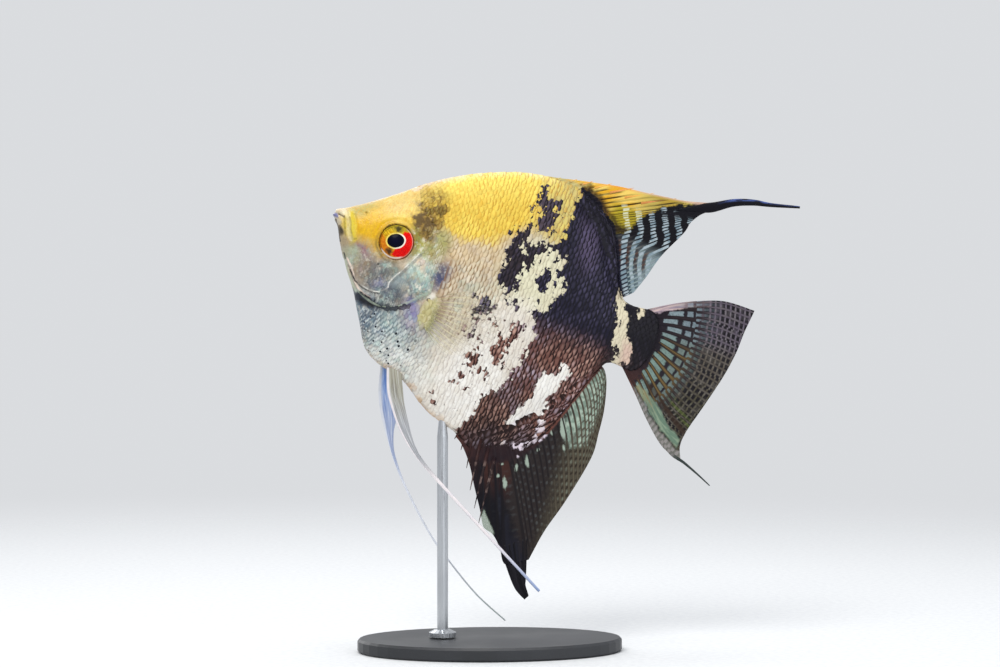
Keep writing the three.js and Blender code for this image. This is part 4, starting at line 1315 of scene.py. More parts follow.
def eye_material():
    material, n = new_material("eye")
    x, _, z = n.apart(n.stored("eye_place"))
    flat = n.together(x, 0, z)
    wobble = n.noise(n.stored("eye_place"), 1.6, 2) - 0.5
    fine = n.noise(n.stored("eye_place"), 5, 3, 0.7)
    off = n.root(x * x + z * z)
    px = x + 0.05
    pz = z - 0.22
    tilted = pz - px * 0.14
    pupil = n.root(px * px * 0.9 + tilted * tilted * 1.24)
    pupil = pupil + (n.noise(flat, 0.8) - 0.5) * 0.12
    spokes = n.noise(n.together(n.math("ARCTAN2", z, x) * 5.5, off * 0.5, 0), 2, 3, 0.7)
    colour = n.mix(n.step(spokes, 0.35, 0.65), "a97c12", "e9c22a")
    colour = n.mix(n.step(z * -1 + x * -0.7 + wobble, 1.4, 2.3) * 0.65, colour, "d9641a")
    colour = n.mix(n.step(z + wobble * 1.4, 1.5, 2.6) * 0.6, colour, "8d8a2c")
    smudge_top = n.root((x + 0.45) ** 2 + (z - 2.85) ** 2)
    smudge_low = n.root((x + 0.6) ** 2 + (z + 2.35) ** 2)
    smudge = n.least(smudge_top, smudge_low)
    colour = n.mix(n.fade(smudge + wobble * 1.6, 0.2, 1.15) * 0.9, colour, "1d201c")
    rear = x + wobble * 0.7 + z * -0.12
    red = n.step(rear, 0.35, 0.75) * n.step(z + wobble, -3.15, -2.7) * n.step(z + wobble, 3.1, 2.7)
    crimson = n.mix(n.step(fine, 0.35, 0.7), "c8060c", "ff1a12")
    crimson = n.mix(n.step(off, 3.1, 3.6, 0, 0.25), crimson, "ff4a2c")
    colour = n.mix(red, colour, crimson)
    front_line = n.between(off, 3.3, 3.42, 0.05) * n.step(x, 0.9, -0.4)
    colour = n.mix(front_line * 0.8, colour, "3c2c08")
    low_rim = n.between(off, 3.3, 3.6, 0.12) * n.step(z, -2.2, -2.9)
    colour = n.mix(low_rim * 0.9, colour, "f2efe8")
    rear_rim = n.between(off, 3.52, 3.68, 0.08) * n.step(x, 0.6, 1.6)
    colour = n.mix(rear_rim * 0.6, colour, "f3c9b4")
    ring = n.fade(pupil, 1.96, 2.08)
    ring_colour = n.mix(n.step(x, -0.6, 1.2), "f0d768", "f6eede")
    colour = n.mix(ring, colour, ring_colour)
    colour = n.mix(n.fade(pupil, 1.66, 1.78), colour, "050718")
    shine = n.fade(pupil, 0, 1.6) * 0.5
    colour = n.mix(shine, colour, "0b0d2c")
    # Painted shade: the eyeball's edge darkens where it meets the socket.
    outer = n.step(off + wobble * 0.12, 3.62, 3.76)
    colour = n.mix(outer * 0.9, colour, "2a2410")
    surface(
        n, {"Coat Weight": 0.05, "Coat Roughness": 0.02, "Specular IOR Level": 0.04},
        Base_Color=colour, Roughness=n.step(fine, 0.3, 0.7, 0.25, 0.4),
        Normal=n.bump(spokes * n.step(pupil, 1.9, 2.2), 5e-05, 0.6),
    )
    return material


def make_eye(side, word, material):
    """One eyeball, spun round its axis and set in its socket."""
    bm = bmesh.new()
    chain = [bm.verts.new((r, 0, h)) for r, h in eye_profile()]
    edges = [bm.edges.new(pair) for pair in zip(chain[:-1], chain[1:])]
    bmesh.ops.spin(
        bm, geom=chain + edges, cent=(0, 0, 0), axis=(0, 0, 1), angle=2 * math.pi, steps=EYE_STEPS,
        use_merge=True, use_duplicate=False,
    )
    bmesh.ops.remove_doubles(bm, verts=bm.verts, dist=1e-4)
    at = np.array([v.co for v in bm.verts])
    local = np.stack([at[:, 0], side * at[:, 2], at[:, 1]], -1)
    c, s = math.cos(side * EYE_YAW), math.sin(side * EYE_YAW)
    x = EYE[0] + local[:, 0] * c - local[:, 1] * s
    y = side * EYE[1] + local[:, 0] * s + local[:, 1] * c
    z = EYE[2] + local[:, 2]
    for vertex, place in zip(bm.verts, world(np.stack([x, y, z], -1))):
        vertex.co = place
    bmesh.ops.recalc_face_normals(bm, faces=bm.faces)
    mesh = mesh_of("eyeball_" + word, bm)
    add_attributes(mesh, {"eye_place": local})
    new_piece("eyeball_" + word, mesh, material, ("eye_" + word,))


# ---- Fins ---------------------------------------------------------------------------------

def cornered_edge(first_points, second_points, share):
    """Two smooth lines that meet in a corner, the first taking the given share of the whole."""
    first, second = curve(first_points), curve(second_points)

    def read(s):
        near, far = first(s / share), second((s - share) / (1 - share))
        return np.where((s < share)[..., None], near, far)
    return read


def web_place(root, margin, first_ray, last_ray, sway):
    """A web between its root, its free margin and its first and last rays, all read from 0 to 1."""
    def place(s, t):
        t_, s_ = t[..., None], s[..., None]
        start, end = np.zeros_like(s), np.ones_like(s)
        flat = lerp(root(s), margin(s), t_)
        flat = flat + (first_ray(t) - lerp(root(start), margin(start), t_)) * (1 - s_)
        flat = flat + (last_ray(t) - lerp(root(end), margin(end), t_)) * s_
        return np.stack([flat[..., 0], sway(flat[..., 0], flat[..., 1]), flat[..., 1]], -1)
    return place


def ribbon_place(leading_points, width, sway):
    """A ribbon behind a leading edge, for a feeler or the streamer at a fin's tip."""
    leading = curve(leading_points)

    def place(s, t):
        point = leading(t)
        ahead = leading(np.minimum(t + 0.002, 1)) - leading(np.maximum(t - 0.002, 0))
        ahead = ahead / np.linalg.norm(ahead, axis=-1, keepdims=True)
        back = width(t) * (1 - s)
        x = point[..., 0] - ahead[..., 1] * back
        z = point[..., 1] + ahead[..., 0] * back
        return np.stack([x, sway(x, z), z], -1)
    return place


def run_from_root(place, s, t):
    """The distance along each ray from its root, in mm."""
    steps = np.linspace(0, 1, 25)
    total = np.zeros_like(s)
    before = place(s, t * 0)
    for share in steps[1:]:
        after = place(s, t * share)
        total += np.linalg.norm(after - before, axis=-1)
        before = after
    return total


RAY_LAYERS = ("ray", "run", "cell", "kind")


def start_fin():
    bm = bmesh.new()
    for name in RAY_LAYERS:
        bm.verts.layers.float.new(name)
    return bm


def add_plate(bm, across, along, place, half_thickness, rays, cell_gap=1.0, kind=0.0):
    """A closed thin plate on its middle surface, with its ray numbers stored on its points."""
    front = bmesh.ops.create_grid(bm, x_segments=across, y_segments=along, size=1)["verts"]
    faces = list({face for vertex in front for face in vertex.link_faces})
    edges = list({edge for face in faces for edge in face.edges})
    copy = bmesh.ops.duplicate(bm, geom=front + edges + faces)["geom"]
    back = [item for item in copy if isinstance(item, bmesh.types.BMVert)]
    back_faces = [item for item in copy if isinstance(item, bmesh.types.BMFace)]
    bmesh.ops.translate(bm, verts=back, vec=(0, 0, -0.001))
    bmesh.ops.reverse_faces(bm, faces=back_faces)
    rims = [edge for edge in edges if edge.is_boundary]
    rims += [item for item in copy if isinstance(item, bmesh.types.BMEdge) and item.is_boundary]
    bmesh.ops.bridge_loops(bm, edges=rims)
    verts = front + back
    flat = np.array([v.co for v in verts])
    s, t = (flat[:, 0] + 1) / 2, (flat[:, 1] + 1) / 2
    side = np.where(flat[:, 2] < -0.0005, 1.0, -1.0)
    middle = place(s, t)
    step = 1e-3
    down_ray = place(s, np.minimum(t + step, 1)) - place(s, np.maximum(t - step, 0))
    over_rays = place(np.minimum(s + step, 1), t) - place(np.maximum(s - step, 0), t)
    out = np.cross(over_rays, down_ray)
    out /= np.maximum(np.linalg.norm(out, axis=-1, keepdims=True), 1e-12)
    out *= np.where(out[:, 1:2] < 0, -1, 1)
    middle = middle + out * (side * half_thickness(s, t))[:, None]
    run = run_from_root(place, s, t)
    cells = cell_gap(run) if callable(cell_gap) else run / cell_gap
    values = np.stack([s * rays, run, cells, np.full(len(s), kind)], -1)
    layers = [bm.verts.layers.float[name] for name in RAY_LAYERS]
    for vertex, point, stored in zip(verts, middle, values):
        vertex.co = point
        for layer, value in zip(layers, stored):
            vertex[layer] = value


def add_spine(bm, start, end, radius, ray, kind=1.0):
    """A slender pointed spine between two points of the fish's frame."""
    start, end = Vector(start), Vector(end)
    along = end - start
    turn = along.to_track_quat("Z", "Y").to_matrix().to_4x4()
    matrix = Matrix.Translation((start + end) / 2) @ turn
    verts = bmesh.ops.create_cone(
        bm, cap_ends=True, segments=8, radius1=radius, radius2=radius * 0.12,
        depth=along.length, matrix=matrix,
    )["verts"]
    layers = [bm.verts.layers.float[name] for name in RAY_LAYERS]
    for vertex in verts:
        run = (vertex.co - start).length
        for layer, value in zip(layers, (ray, run, 0.5, kind)):
            vertex[layer] = value


def finish_fin(bm, name, material, node, regions, mirror=False, cells=None):
    """Puts a fin in the stand's frame, with its ray places and its regions as attributes."""
    layers = [bm.verts.layers.float[key] for key in RAY_LAYERS]
    places = np.array([v.co for v in bm.verts])
    rays = np.array([[v[layer] for layer in layers] for v in bm.verts])
    if mirror:
        places = places * (1, -1, 1)
    for vertex, point in zip(bm.verts, world(places)):
        vertex.co = point
    bmesh.ops.recalc_face_normals(bm, faces=bm.faces)
    mesh = mesh_of(name, bm)
    x = places[:, 0] + 0.35 * cloud(places, 1.2, 61)
    z = places[:, 2] + 0.35 * cloud(places, 1.2, 62)
    fields = [np.clip(field(x, z), -9, 9) for field in regions]
    while len(fields) < 3:
        fields.append(np.full(len(x), -9.0))
    if cells is not None:
        rays[:, 2] = cells(places[:, 0], places[:, 2])
    above = places[:, 2] - BACK(places[:, 0]) - SHEATH_TOP(places[:, 0])
    below = BELLY(places[:, 0]) - SHEATH_BOTTOM(places[:, 0]) - places[:, 2]
    values = markings(places)
    values.update({
        "ray_place": rays[:, :3], "regions": np.stack(fields, -1), "kind_mark": rays[:, 3],
        "beyond": np.maximum(above, below),
    })
    add_attributes(mesh, values)
    new_piece(name, mesh, material, (node,))


def area(outline):
    return lambda x, z: inside_by(x, z, outline)


def ovals(spots):
    """Long spots as x, z, half length, half width and turn in degrees."""
    def field(x, z):
        shares = []
        for spot in spots:
            shares.append((1 - oval_reach(x, z, *spot)) * spot[3])
        return union_of(shares)
    return field


def ridged(rays, web, ray_root, ray_tip, splits=0.55):
    """Half a fin's thickness: a thin web with a rounded ridge on each ray, which forks further out."""
    def half_thickness(s, t):
        part = np.abs((s * rays + 0.5) % 1 - 0.5)
        main = (
            np.maximum(1 - part / 0.2, 0) ** 0.5
            * (1 - 0.45 * smoothstep(t, splits - 0.1, splits + 0.2))
        )
        fork = (
            np.maximum(1 - np.abs(part - 0.25) / 0.12, 0) ** 0.5
            * smoothstep(t, splits, splits + 0.2) * 0.6
        )
        ray = lerp(ray_root, ray_tip, t)
        return web * (1 - 0.3 * t) + ray * np.maximum(main, fork)
    return half_thickness


def rounded(swell):
    """Half the thickness of a streamer: round across, and thinner towards its tip."""
    def half_thickness(s, t):
        return 0.05 + swell * np.sqrt(np.maximum(1 - (2 * s - 1) ** 2, 0)) * (1 - 0.4 * t)
    return half_thickness


DORSAL_RAYS = 34
DORSAL_SPINES = 13  # of them, in front of the streamer


def dorsal_sway(x, z):
    return 1.8 * rise(x, 52, 94) ** 2 + 0.35 * np.sin(x / 3.4) * rise(x, 56, 70)


DORSAL_PLACE = web_place(
    cornered_edge(
        [(39, 24.7), (44, 24), (48, 22.4), (51.6, 20.2)],
        [(51.6, 20.2), (54, 17.8), (58, 13.6), (61.5, 8.9), (64, 6.2)],
        DORSAL_SPINES / DORSAL_RAYS,
    ),
    cornered_edge(
        [
            (
                39.4, 25.3,
            ), (42, 25.9), (46, 27), (50, 28), (55, 29.2), (60, 30), (65, 30.9), (70, 31.9),
            (76, 33.8),
        ],
        [
            (76, 33.8), (75.2, 31.6), (73.8, 30), (72.6, 27.8), (72, 25), (69.3, 18.6), (67.9, 13),
            (66.6, 8.8),
        ],
        DORSAL_SPINES / DORSAL_RAYS,
    ),
    curve([(39, 24.7), (39.4, 25.3)]),
    curve([(64, 6.2), (66.6, 8.8)]),
    dorsal_sway,
)
DORSAL_STREAMER = ribbon_place(
    [(68, 28.8), (72, 30.2), (76, 31.6), (80, 34.6), (84, 36.5), (88, 37.8), (94.2, 40)],
    smooth_line(
        [(0, 0.1), (0.14, 1.1), (0.3, 2.2), (0.5, 1.7), (0.66, 1.4), (0.84, 0.9), (1, 0.5)],
    ),
    dorsal_sway,
)
DORSAL_YELLOW = [
    (36, 23), (44, 24.3), (49, 24.3), (
        51.6, 22.4,
    ), (53, 20.8), (55.4, 19.9), (58.6, 19.4), (60.6, 21),
    (61.4, 23.6), (63.2, 26.4), (66, 28.8), (69, 30.6), (72, 31.8), (72, 34.4), (60, 32), (36, 29),
]
DORSAL_BLACK = [
    (60.4, 19), (61.4, 22), (62.8, 25.4), (66, 27.6), (70, 29.6), (75, 31.6), (78, 32.4), (100, 38),
    (100, 28), (76, 25), (71, 22), (66.6, 20.6), (63, 19),
]
TOOTH_LINE = smooth_line(
    [(6, 66.4), (8.8, 64.6), (13.6, 62.1), (18.3, 60.5), (21.4, 60), (24.8, 58.1), (30, 55.6)],
)
BAR_GAP = smooth_line([(6, 2.0), (17.5, 2.1), (21, 3.1), (34, 3.1)])
# The hard rays whose points stand out of the back fin's edge: place along the fin, length in mm.
DORSAL_POINTS = (
    (0.05, 0.2), (0.09, 0.25), (0.13, 0.35), (0.17, 0.5), (0.215, 0.65), (0.26, 0.5), (0.31, 0.3),
)


def dorsal_bars(x, z):
    """The number of the pale bar at a place, counted from the fin's base."""
    return (x - TOOTH_LINE(z)) / BAR_GAP(z)


def make_dorsal_fin(material):
    bm = start_fin()
    web = ridged(DORSAL_RAYS, 0.09, 0.2, 0.07)
    add_plate(bm, DORSAL_RAYS * 6, 64, DORSAL_PLACE, web, DORSAL_RAYS)
    add_plate(bm, 8, 90, DORSAL_STREAMER, rounded(0.24), 3, kind=2.0)
    for share, stand in DORSAL_POINTS:
        s = np.array([share])
        root, tip = DORSAL_PLACE(s, np.array([0.62]))[0], DORSAL_PLACE(s, np.array([1.0]))[0]
        tip = tip + (tip - root) / np.linalg.norm(tip - root) * stand
        tip[2] += 0.25 * stand
        add_spine(bm, root, tip, 0.32, share * DORSAL_RAYS)
    regions = [area(DORSAL_YELLOW), area(DORSAL_BLACK)]
    finish_fin(
        bm, "dorsal_fin_rays", material, "dorsal_fin", regions, cells=dorsal_bars,
    )


ANAL_RAYS = 32
ANAL_SOFT = 24  # of them, behind the tip


def anal_sway(x, z):
    return -1.6 * rise(-z, 22, 62) ** 2 + 0.3 * np.sin(x / 3) * rise(-z, 26, 40)


ANAL_PLACE = web_place(
    cornered_edge(
        [(65.6, -8.6), (63.4, -12), (60, -18.2), (55, -25), (50.3, -29.5)],
        [(50.3, -29.5), (48, -31), (46, -32), (43, -33)],
        ANAL_SOFT / ANAL_RAYS,
    ),
    cornered_edge(
        [
            (71, -23), (71.5, -27), (71, -32), (69.5, -40), (67.8, -47), (66.9, -54),
        ],
        [
            (66.9, -54), (
                62.6, -56.9,
            ), (60, -53.9), (57.5, -51.8), (55, -51), (53, -48), (50, -43.8),
            (47, -39.4), (44, -36.2), (42, -35),
        ],
        ANAL_SOFT / ANAL_RAYS,
    ),
    curve([(65.6, -8.6), (67, -9.4), (68.5, -12), (70.2, -17.6), (71, -23)]),
    curve([(43, -33), (42, -35)]),
    anal_sway,
)
ANAL_STREAMER = ribbon_place(
    [(60, -53.7), (63, -57.4), (66.3, -60.9), (69.2, -62.4)],
    smooth_line([(0, 6.4), (0.33, 4.7), (0.66, 2.8), (1, 1.2)]),
    anal_sway,
)
ANAL_GREEN = [
    (64.6, -9), (67, -9.4), (68.4, -13), (69.4, -19), (69.2, -26), (66.4, -28.4), (63.4, -24.4),
    (62.2, -19.6), (63, -14),
]
ANAL_FRONT = [
    (38, -30), (50, -31), (
        54.5, -31.5,
    ), (56.4, -38), (58.4, -45), (62.4, -50), (68, -55), (74, -66),
    (58, -62), (40, -40),
]
# Pale dashes on the belly fin: x, z, half length, half width, turn.
ANAL_DASHES = [
    (63.2, -24.6, 2.9, 0.7, -60), (58.7, -34.2, 1.1, 0.4, -66), (57, -36.2, 1.0, 0.4, -66),
    (55.8, -40.2, 1.6, 0.45, -70), (53.4, -36.8, 0.4, 0.4, 0), (61.2, -26.2, 0.6, 0.35, -66),
    (65, -28.6, 0.9, 0.35, -66), (53.8, -39.6, 0.5, 0.4, 0), (59.8, -31, 0.5, 0.3, -66),
]
# The spines in front of the belly fin, from root to point: x, z, x, z.
ANAL_SPINES = [
    (43.6, -31.4, 44.2, -37.3), (45.2, -31.8, 46.8, -40.5), (47.4, -33.4, 49.3, -44.7),
    (49.6, -34.6, 51.6, -48), (51.6, -36, 53.7, -50.6), (42.6, -31.6, 42, -35.6),
]


def anal_tip_thickness(s, t):
    return 0.06 + 0.12 * np.maximum(1 - np.abs((s * 6 + 0.5) % 1 - 0.5) / 0.3, 0)


def make_anal_fin(material):
    bm = start_fin()
    web = ridged(ANAL_RAYS, 0.1, 0.17, 0.08, 0.6)
    add_plate(bm, ANAL_RAYS * 6, 90, ANAL_PLACE, web, ANAL_RAYS, 1.62)
    add_plate(bm, 36, 24, ANAL_STREAMER, anal_tip_thickness, 6, 1.62, 2.0)
    for number, (x0, z0, x1, z1) in enumerate(ANAL_SPINES):
        start = (x0, float(anal_sway(x0, z0)), z0)
        add_spine(bm, start, (x1, float(anal_sway(x1, z1)), z1), 0.5, ANAL_RAYS - number - 0.5)
    regions = [area(ANAL_GREEN), area(ANAL_FRONT), ovals(ANAL_DASHES)]
    finish_fin(bm, "anal_fin_rays", material, "anal_fin", regions)


CAUDAL_RAYS = 14


def caudal_sway(x, z):
    reach = rise(x, 70, 93)
    return 3.2 * reach ** 1.6 + 0.6 * np.sin(z / 3.4) * reach


CAUDAL_PLACE = web_place(
    curve([(70.4, 6.3), (71.4, 3), (71.6, 0), (71.4, -3.6), (70.4, -7.3)]),
    curve([
        (93.4, 15.3), (93.2, 10.4), (93.3, 5.6), (92.7, 0.8), (91.5, -4.6), (90.3, -10), (
            89.3, -14.6,
        ),
        (89.2, -18), (90.6, -20.9),
    ]),
    curve([(70.4, 6.3), (75.5, 9.7), (80.5, 12.4), (86.4, 14.7), (93.4, 15.3)]),
    curve([(70.4, -7.3), (75.1, -11.5), (80.3, -16.3), (85.5, -20.2), (90.6, -21.7)]),
    caudal_sway,
)
CAUDAL_STREAMER = ribbon_place(
    [(84, -19.2), (88, -21.3), (91.4, -22), (95, -23.1), (98.6, -24.4)],
    smooth_line([(0, 0.9), (0.35, 0.7), (0.6, 0.5), (1, 0.22)]),
    caudal_sway,
)
CAUDAL_LOBE = [
    (75.2, -9.2), (77.4, -10), (
        80.4, -11.8,
    ), (84.5, -14.8), (88.8, -17.2), (88.6, -19.4), (83.6, -17.2),
    (79, -13.8), (76.6, -11.6), (74.8, -10.2),
]
CAUDAL_BORDER = [
    (72.6, -9.2), (
        74.8, -10.4,
    ), (76.6, -11.8), (79, -14), (83.6, -17.4), (88.4, -19.6), (91, -19.4),
    (91, -23), (84, -20.8), (78, -15.8), (72, -9.6),
]
# The number of the pale cell at a distance from the tail fin's root, in mm.
CAUDAL_CELLS = smooth_line([
    (0, -1.4), (
        3.6, -0.3,
    ), (4.6, 0.05), (9, 1), (11.1, 2), (13, 3), (14.7, 4), (15.9, 5), (17.1, 6),
    (18.3, 7), (30, 17),
])
# Where a painted highlight lies on the tail fin's upper edge, strongest near its root.
CAUDAL_TOP_HIGHLIGHT = [
    (70.4, 5.6), (73, 6.6), (76, 8.2), (78.6, 9.8), (84, 12.6), (83.6, 14.4), (78, 12.2), (72, 8.4),
]


def make_caudal_fin(material):
    bm = start_fin()
    web = ridged(CAUDAL_RAYS, 0.09, 0.24, 0.07, 0.45)
    add_plate(bm, CAUDAL_RAYS * 12, 76, CAUDAL_PLACE, web, CAUDAL_RAYS, CAUDAL_CELLS)
    add_plate(bm, 6, 60, CAUDAL_STREAMER, rounded(0.2), 2, CAUDAL_CELLS, 2.0)
    regions = [area(CAUDAL_LOBE), area(CAUDAL_BORDER), area(CAUDAL_TOP_HIGHLIGHT)]
    finish_fin(bm, "caudal_fin_rays", material, "caudal_fin", regions)


def pelvic_thickness(blade_end, thin):
    """A thin blade behind a thick leading ray, which runs on alone as a round feeler."""
    def half_thickness(s, t):
        feeler = smoothstep(t, blade_end - 0.12, blade_end + 0.04)
        lead = 0.3 * np.exp(-((1 - s) / 0.13) ** 2)
        streaks = 0.05 * np.maximum(np.cos(s * 44), 0)
        blade = 0.06 + lead + streaks * (1 - t)
        cord = 0.04 + 0.3 * np.sqrt(np.maximum(1 - (2 * s - 1) ** 2, 0))
        return lerp(blade, cord, feeler) * (1 - 0.35 * t) * lerp(1.0, thin, smoothstep(t, 0.3, 0.6))
    return half_thickness


PELVIC_LEFT = ribbon_place(
    [
        (22.4, -26.6), (24.2, -31), (26.6, -34.4), (29.8, -38), (33.9, -41.3), (38.3, -43.9),
        (45, -47.2), (51.7, -50.4), (59.6, -54.2), (65.5, -57), (71, -59.6),
    ],
    smooth_line([(0, 3), (0.1, 3.4), (0.2, 2.9), (0.3, 2.3), (0.4, 1.2), (0.5, 0.8), (1, 0.6)]),
    lambda x, z: -1.2 - 3.6 * np.sin(rise(-z, 26, 50) * math.pi / 2),
)
PELVIC_RIGHT = ribbon_place(
    [
        (21, -26.2), (22.4, -31), (24.3, -35), (26.6, -38.4), (29.2, -41.9), (32.4, -45.8),
        (36.8, -50.2), (44.8, -57), (51.9, -61.6), (60, -66), (67.9, -68.9),
    ],
    smooth_line([(0, 2.6), (0.1, 4), (0.2, 4), (0.28, 3.2), (0.36, 1.7), (0.46, 0.7), (1, 0.3)]),
    lambda x, z: 1.2 + 4.4 * np.sin(rise(-z, 26, 54) * math.pi / 2),
)


def make_pelvic_fin(word, place, blade_end, thin, material):
    bm = start_fin()
    add_plate(bm, 30, 190, place, pelvic_thickness(blade_end, thin), 7, 2.0)
    name = "pelvic_fin_" + word
    finish_fin(bm, name + "_blade", material, name, [])


PECTORAL_RAYS = 12
PECTORAL_ROOT = 25.6
PECTORAL_SIDE = 6.3  # its root's distance from the fish's middle
PECTORAL_SPREAD = math.radians(24)
PECTORAL_BOW = 0.9
PECTORAL_FLAT = web_place(
    curve([(25.6, -9.2), (26, -12), (26.2, -15.4)]),
    curve([(38.6, -3.6), (41.6, -7.2), (42.2, -11), (40.8, -15), (37.4, -17.8), (33.6, -19)]),
    curve([(25.6, -9.2), (31.4, -5.6), (38.6, -3.6)]),
    curve([(26.2, -15.4), (29.6, -17.6), (33.6, -19)]),
    lambda x, z: x * 0,
)


def pectoral_place(s, t):
    flat = PECTORAL_FLAT(s, t)
    reach = flat[..., 0] - PECTORAL_ROOT
    bow = PECTORAL_BOW * np.sin(t * math.pi)
    out = PECTORAL_SIDE + reach * math.sin(PECTORAL_SPREAD) - bow
    return np.stack([PECTORAL_ROOT + reach * math.cos(PECTORAL_SPREAD), -out, flat[..., 2]], -1)


def make_pectoral_fins(material):
    for word, mirror in (("left", False), ("right", True)):
        bm = start_fin()
        thickness = ridged(PECTORAL_RAYS, 0.05, 0.2, 0.06, 0.5)
        add_plate(bm, PECTORAL_RAYS * 8, 48, pectoral_place, thickness, PECTORAL_RAYS, 1.2)
        name = "pectoral_fin_" + word
        finish_fin(bm, name + "_rays", material, name, [], mirror)


# ---- Fin materials ------------------------------------------------------------------------

def ray_group():
    """Ray number, run and cell; how far a place is off its ray or forked ray; a chance per gap."""
    outputs = ("Ray", "Run", "Cell", "Gap", "Fork Gap", "Luck")
    tree, n, given, out = new_group(
        "fin_rays", {"Ray Place": ("Vector", None)}, {name: "Float" for name in outputs},
    )
    ray, run, cell = n.apart(given["Ray Place"])

    def off(number):
        return abs(n.fraction(number + 0.5) - 0.5)

    chance = n.add(
        "TexWhiteNoise", {"Vector": n.together(n.math("FLOOR", ray), 3, 0)}, noise_dimensions="3D",
    )
    fork_gap = off(ray * 2 + 0.5)
    values = (ray, run, cell, off(ray), fork_gap, chance["Value"])
    for name, value in zip(outputs, values):
        n.put(out[name], value)
    return tree


def fin_grain_group():
    """The fine grain of a fin's web: how rough it is, and its bump."""
    inputs = {
        "Place": ("Vector", None), "Ray Place": ("Vector", None), "Base Roughness": ("Float", 0.42),
    }
    tree, n, given, out = new_group("fin_grain", inputs, {"Roughness": "Float", "Normal": "Vector"})
    grain = n.noise(given["Place"], 4, 3)
    ray, run, _ = n.apart(given["Ray Place"])
    streak = n.noise(n.together(ray * 9, run * 0.5), 1, 2)
    n.put(out["Roughness"], given["Base Roughness"] + n.step(grain, 0.3, 0.7, -0.08, 0.1))
    n.put(out["Normal"], n.bump(grain * 0.5 + streak, 5e-05, 0.6))
    return tree


FIN_RAYS = ray_group()
FIN_GRAIN = fin_grain_group()


def fin_parts(n):
    """What every fin's colours are drawn with."""
    rays = placed_group(n, FIN_RAYS, Ray_Place=n.stored("ray_place"))
    x, _, z = n.apart(n.stored("place"))
    return rays, rays["Ray"], rays["Run"], rays["Cell"], rays["Gap"], x, z


def fin_surface(n, colour, alpha=1, coat=0.05, roughness=0.45):
    grain = placed_group(
        n, FIN_GRAIN, Place=n.stored("place"), Ray_Place=n.stored("ray_place"),
        Base_Roughness=roughness,
    )
    surface(
        n, {"Coat Weight": coat, "Coat Roughness": 0.2, "Specular IOR Level": 0.1},
        Base_Color=colour, Roughness=grain["Roughness"], Alpha=alpha, Normal=grain["Normal"],
    )


def over_base(n, colour, grit, reach=1.4):
    """The body's own marbling, which runs out on to a fin's base."""
    share = n.step(n.stored("beyond", "Fac") + grit * 2.4, reach, 0.2)
    return n.mix(share, colour, marbled(n)["Colour"])


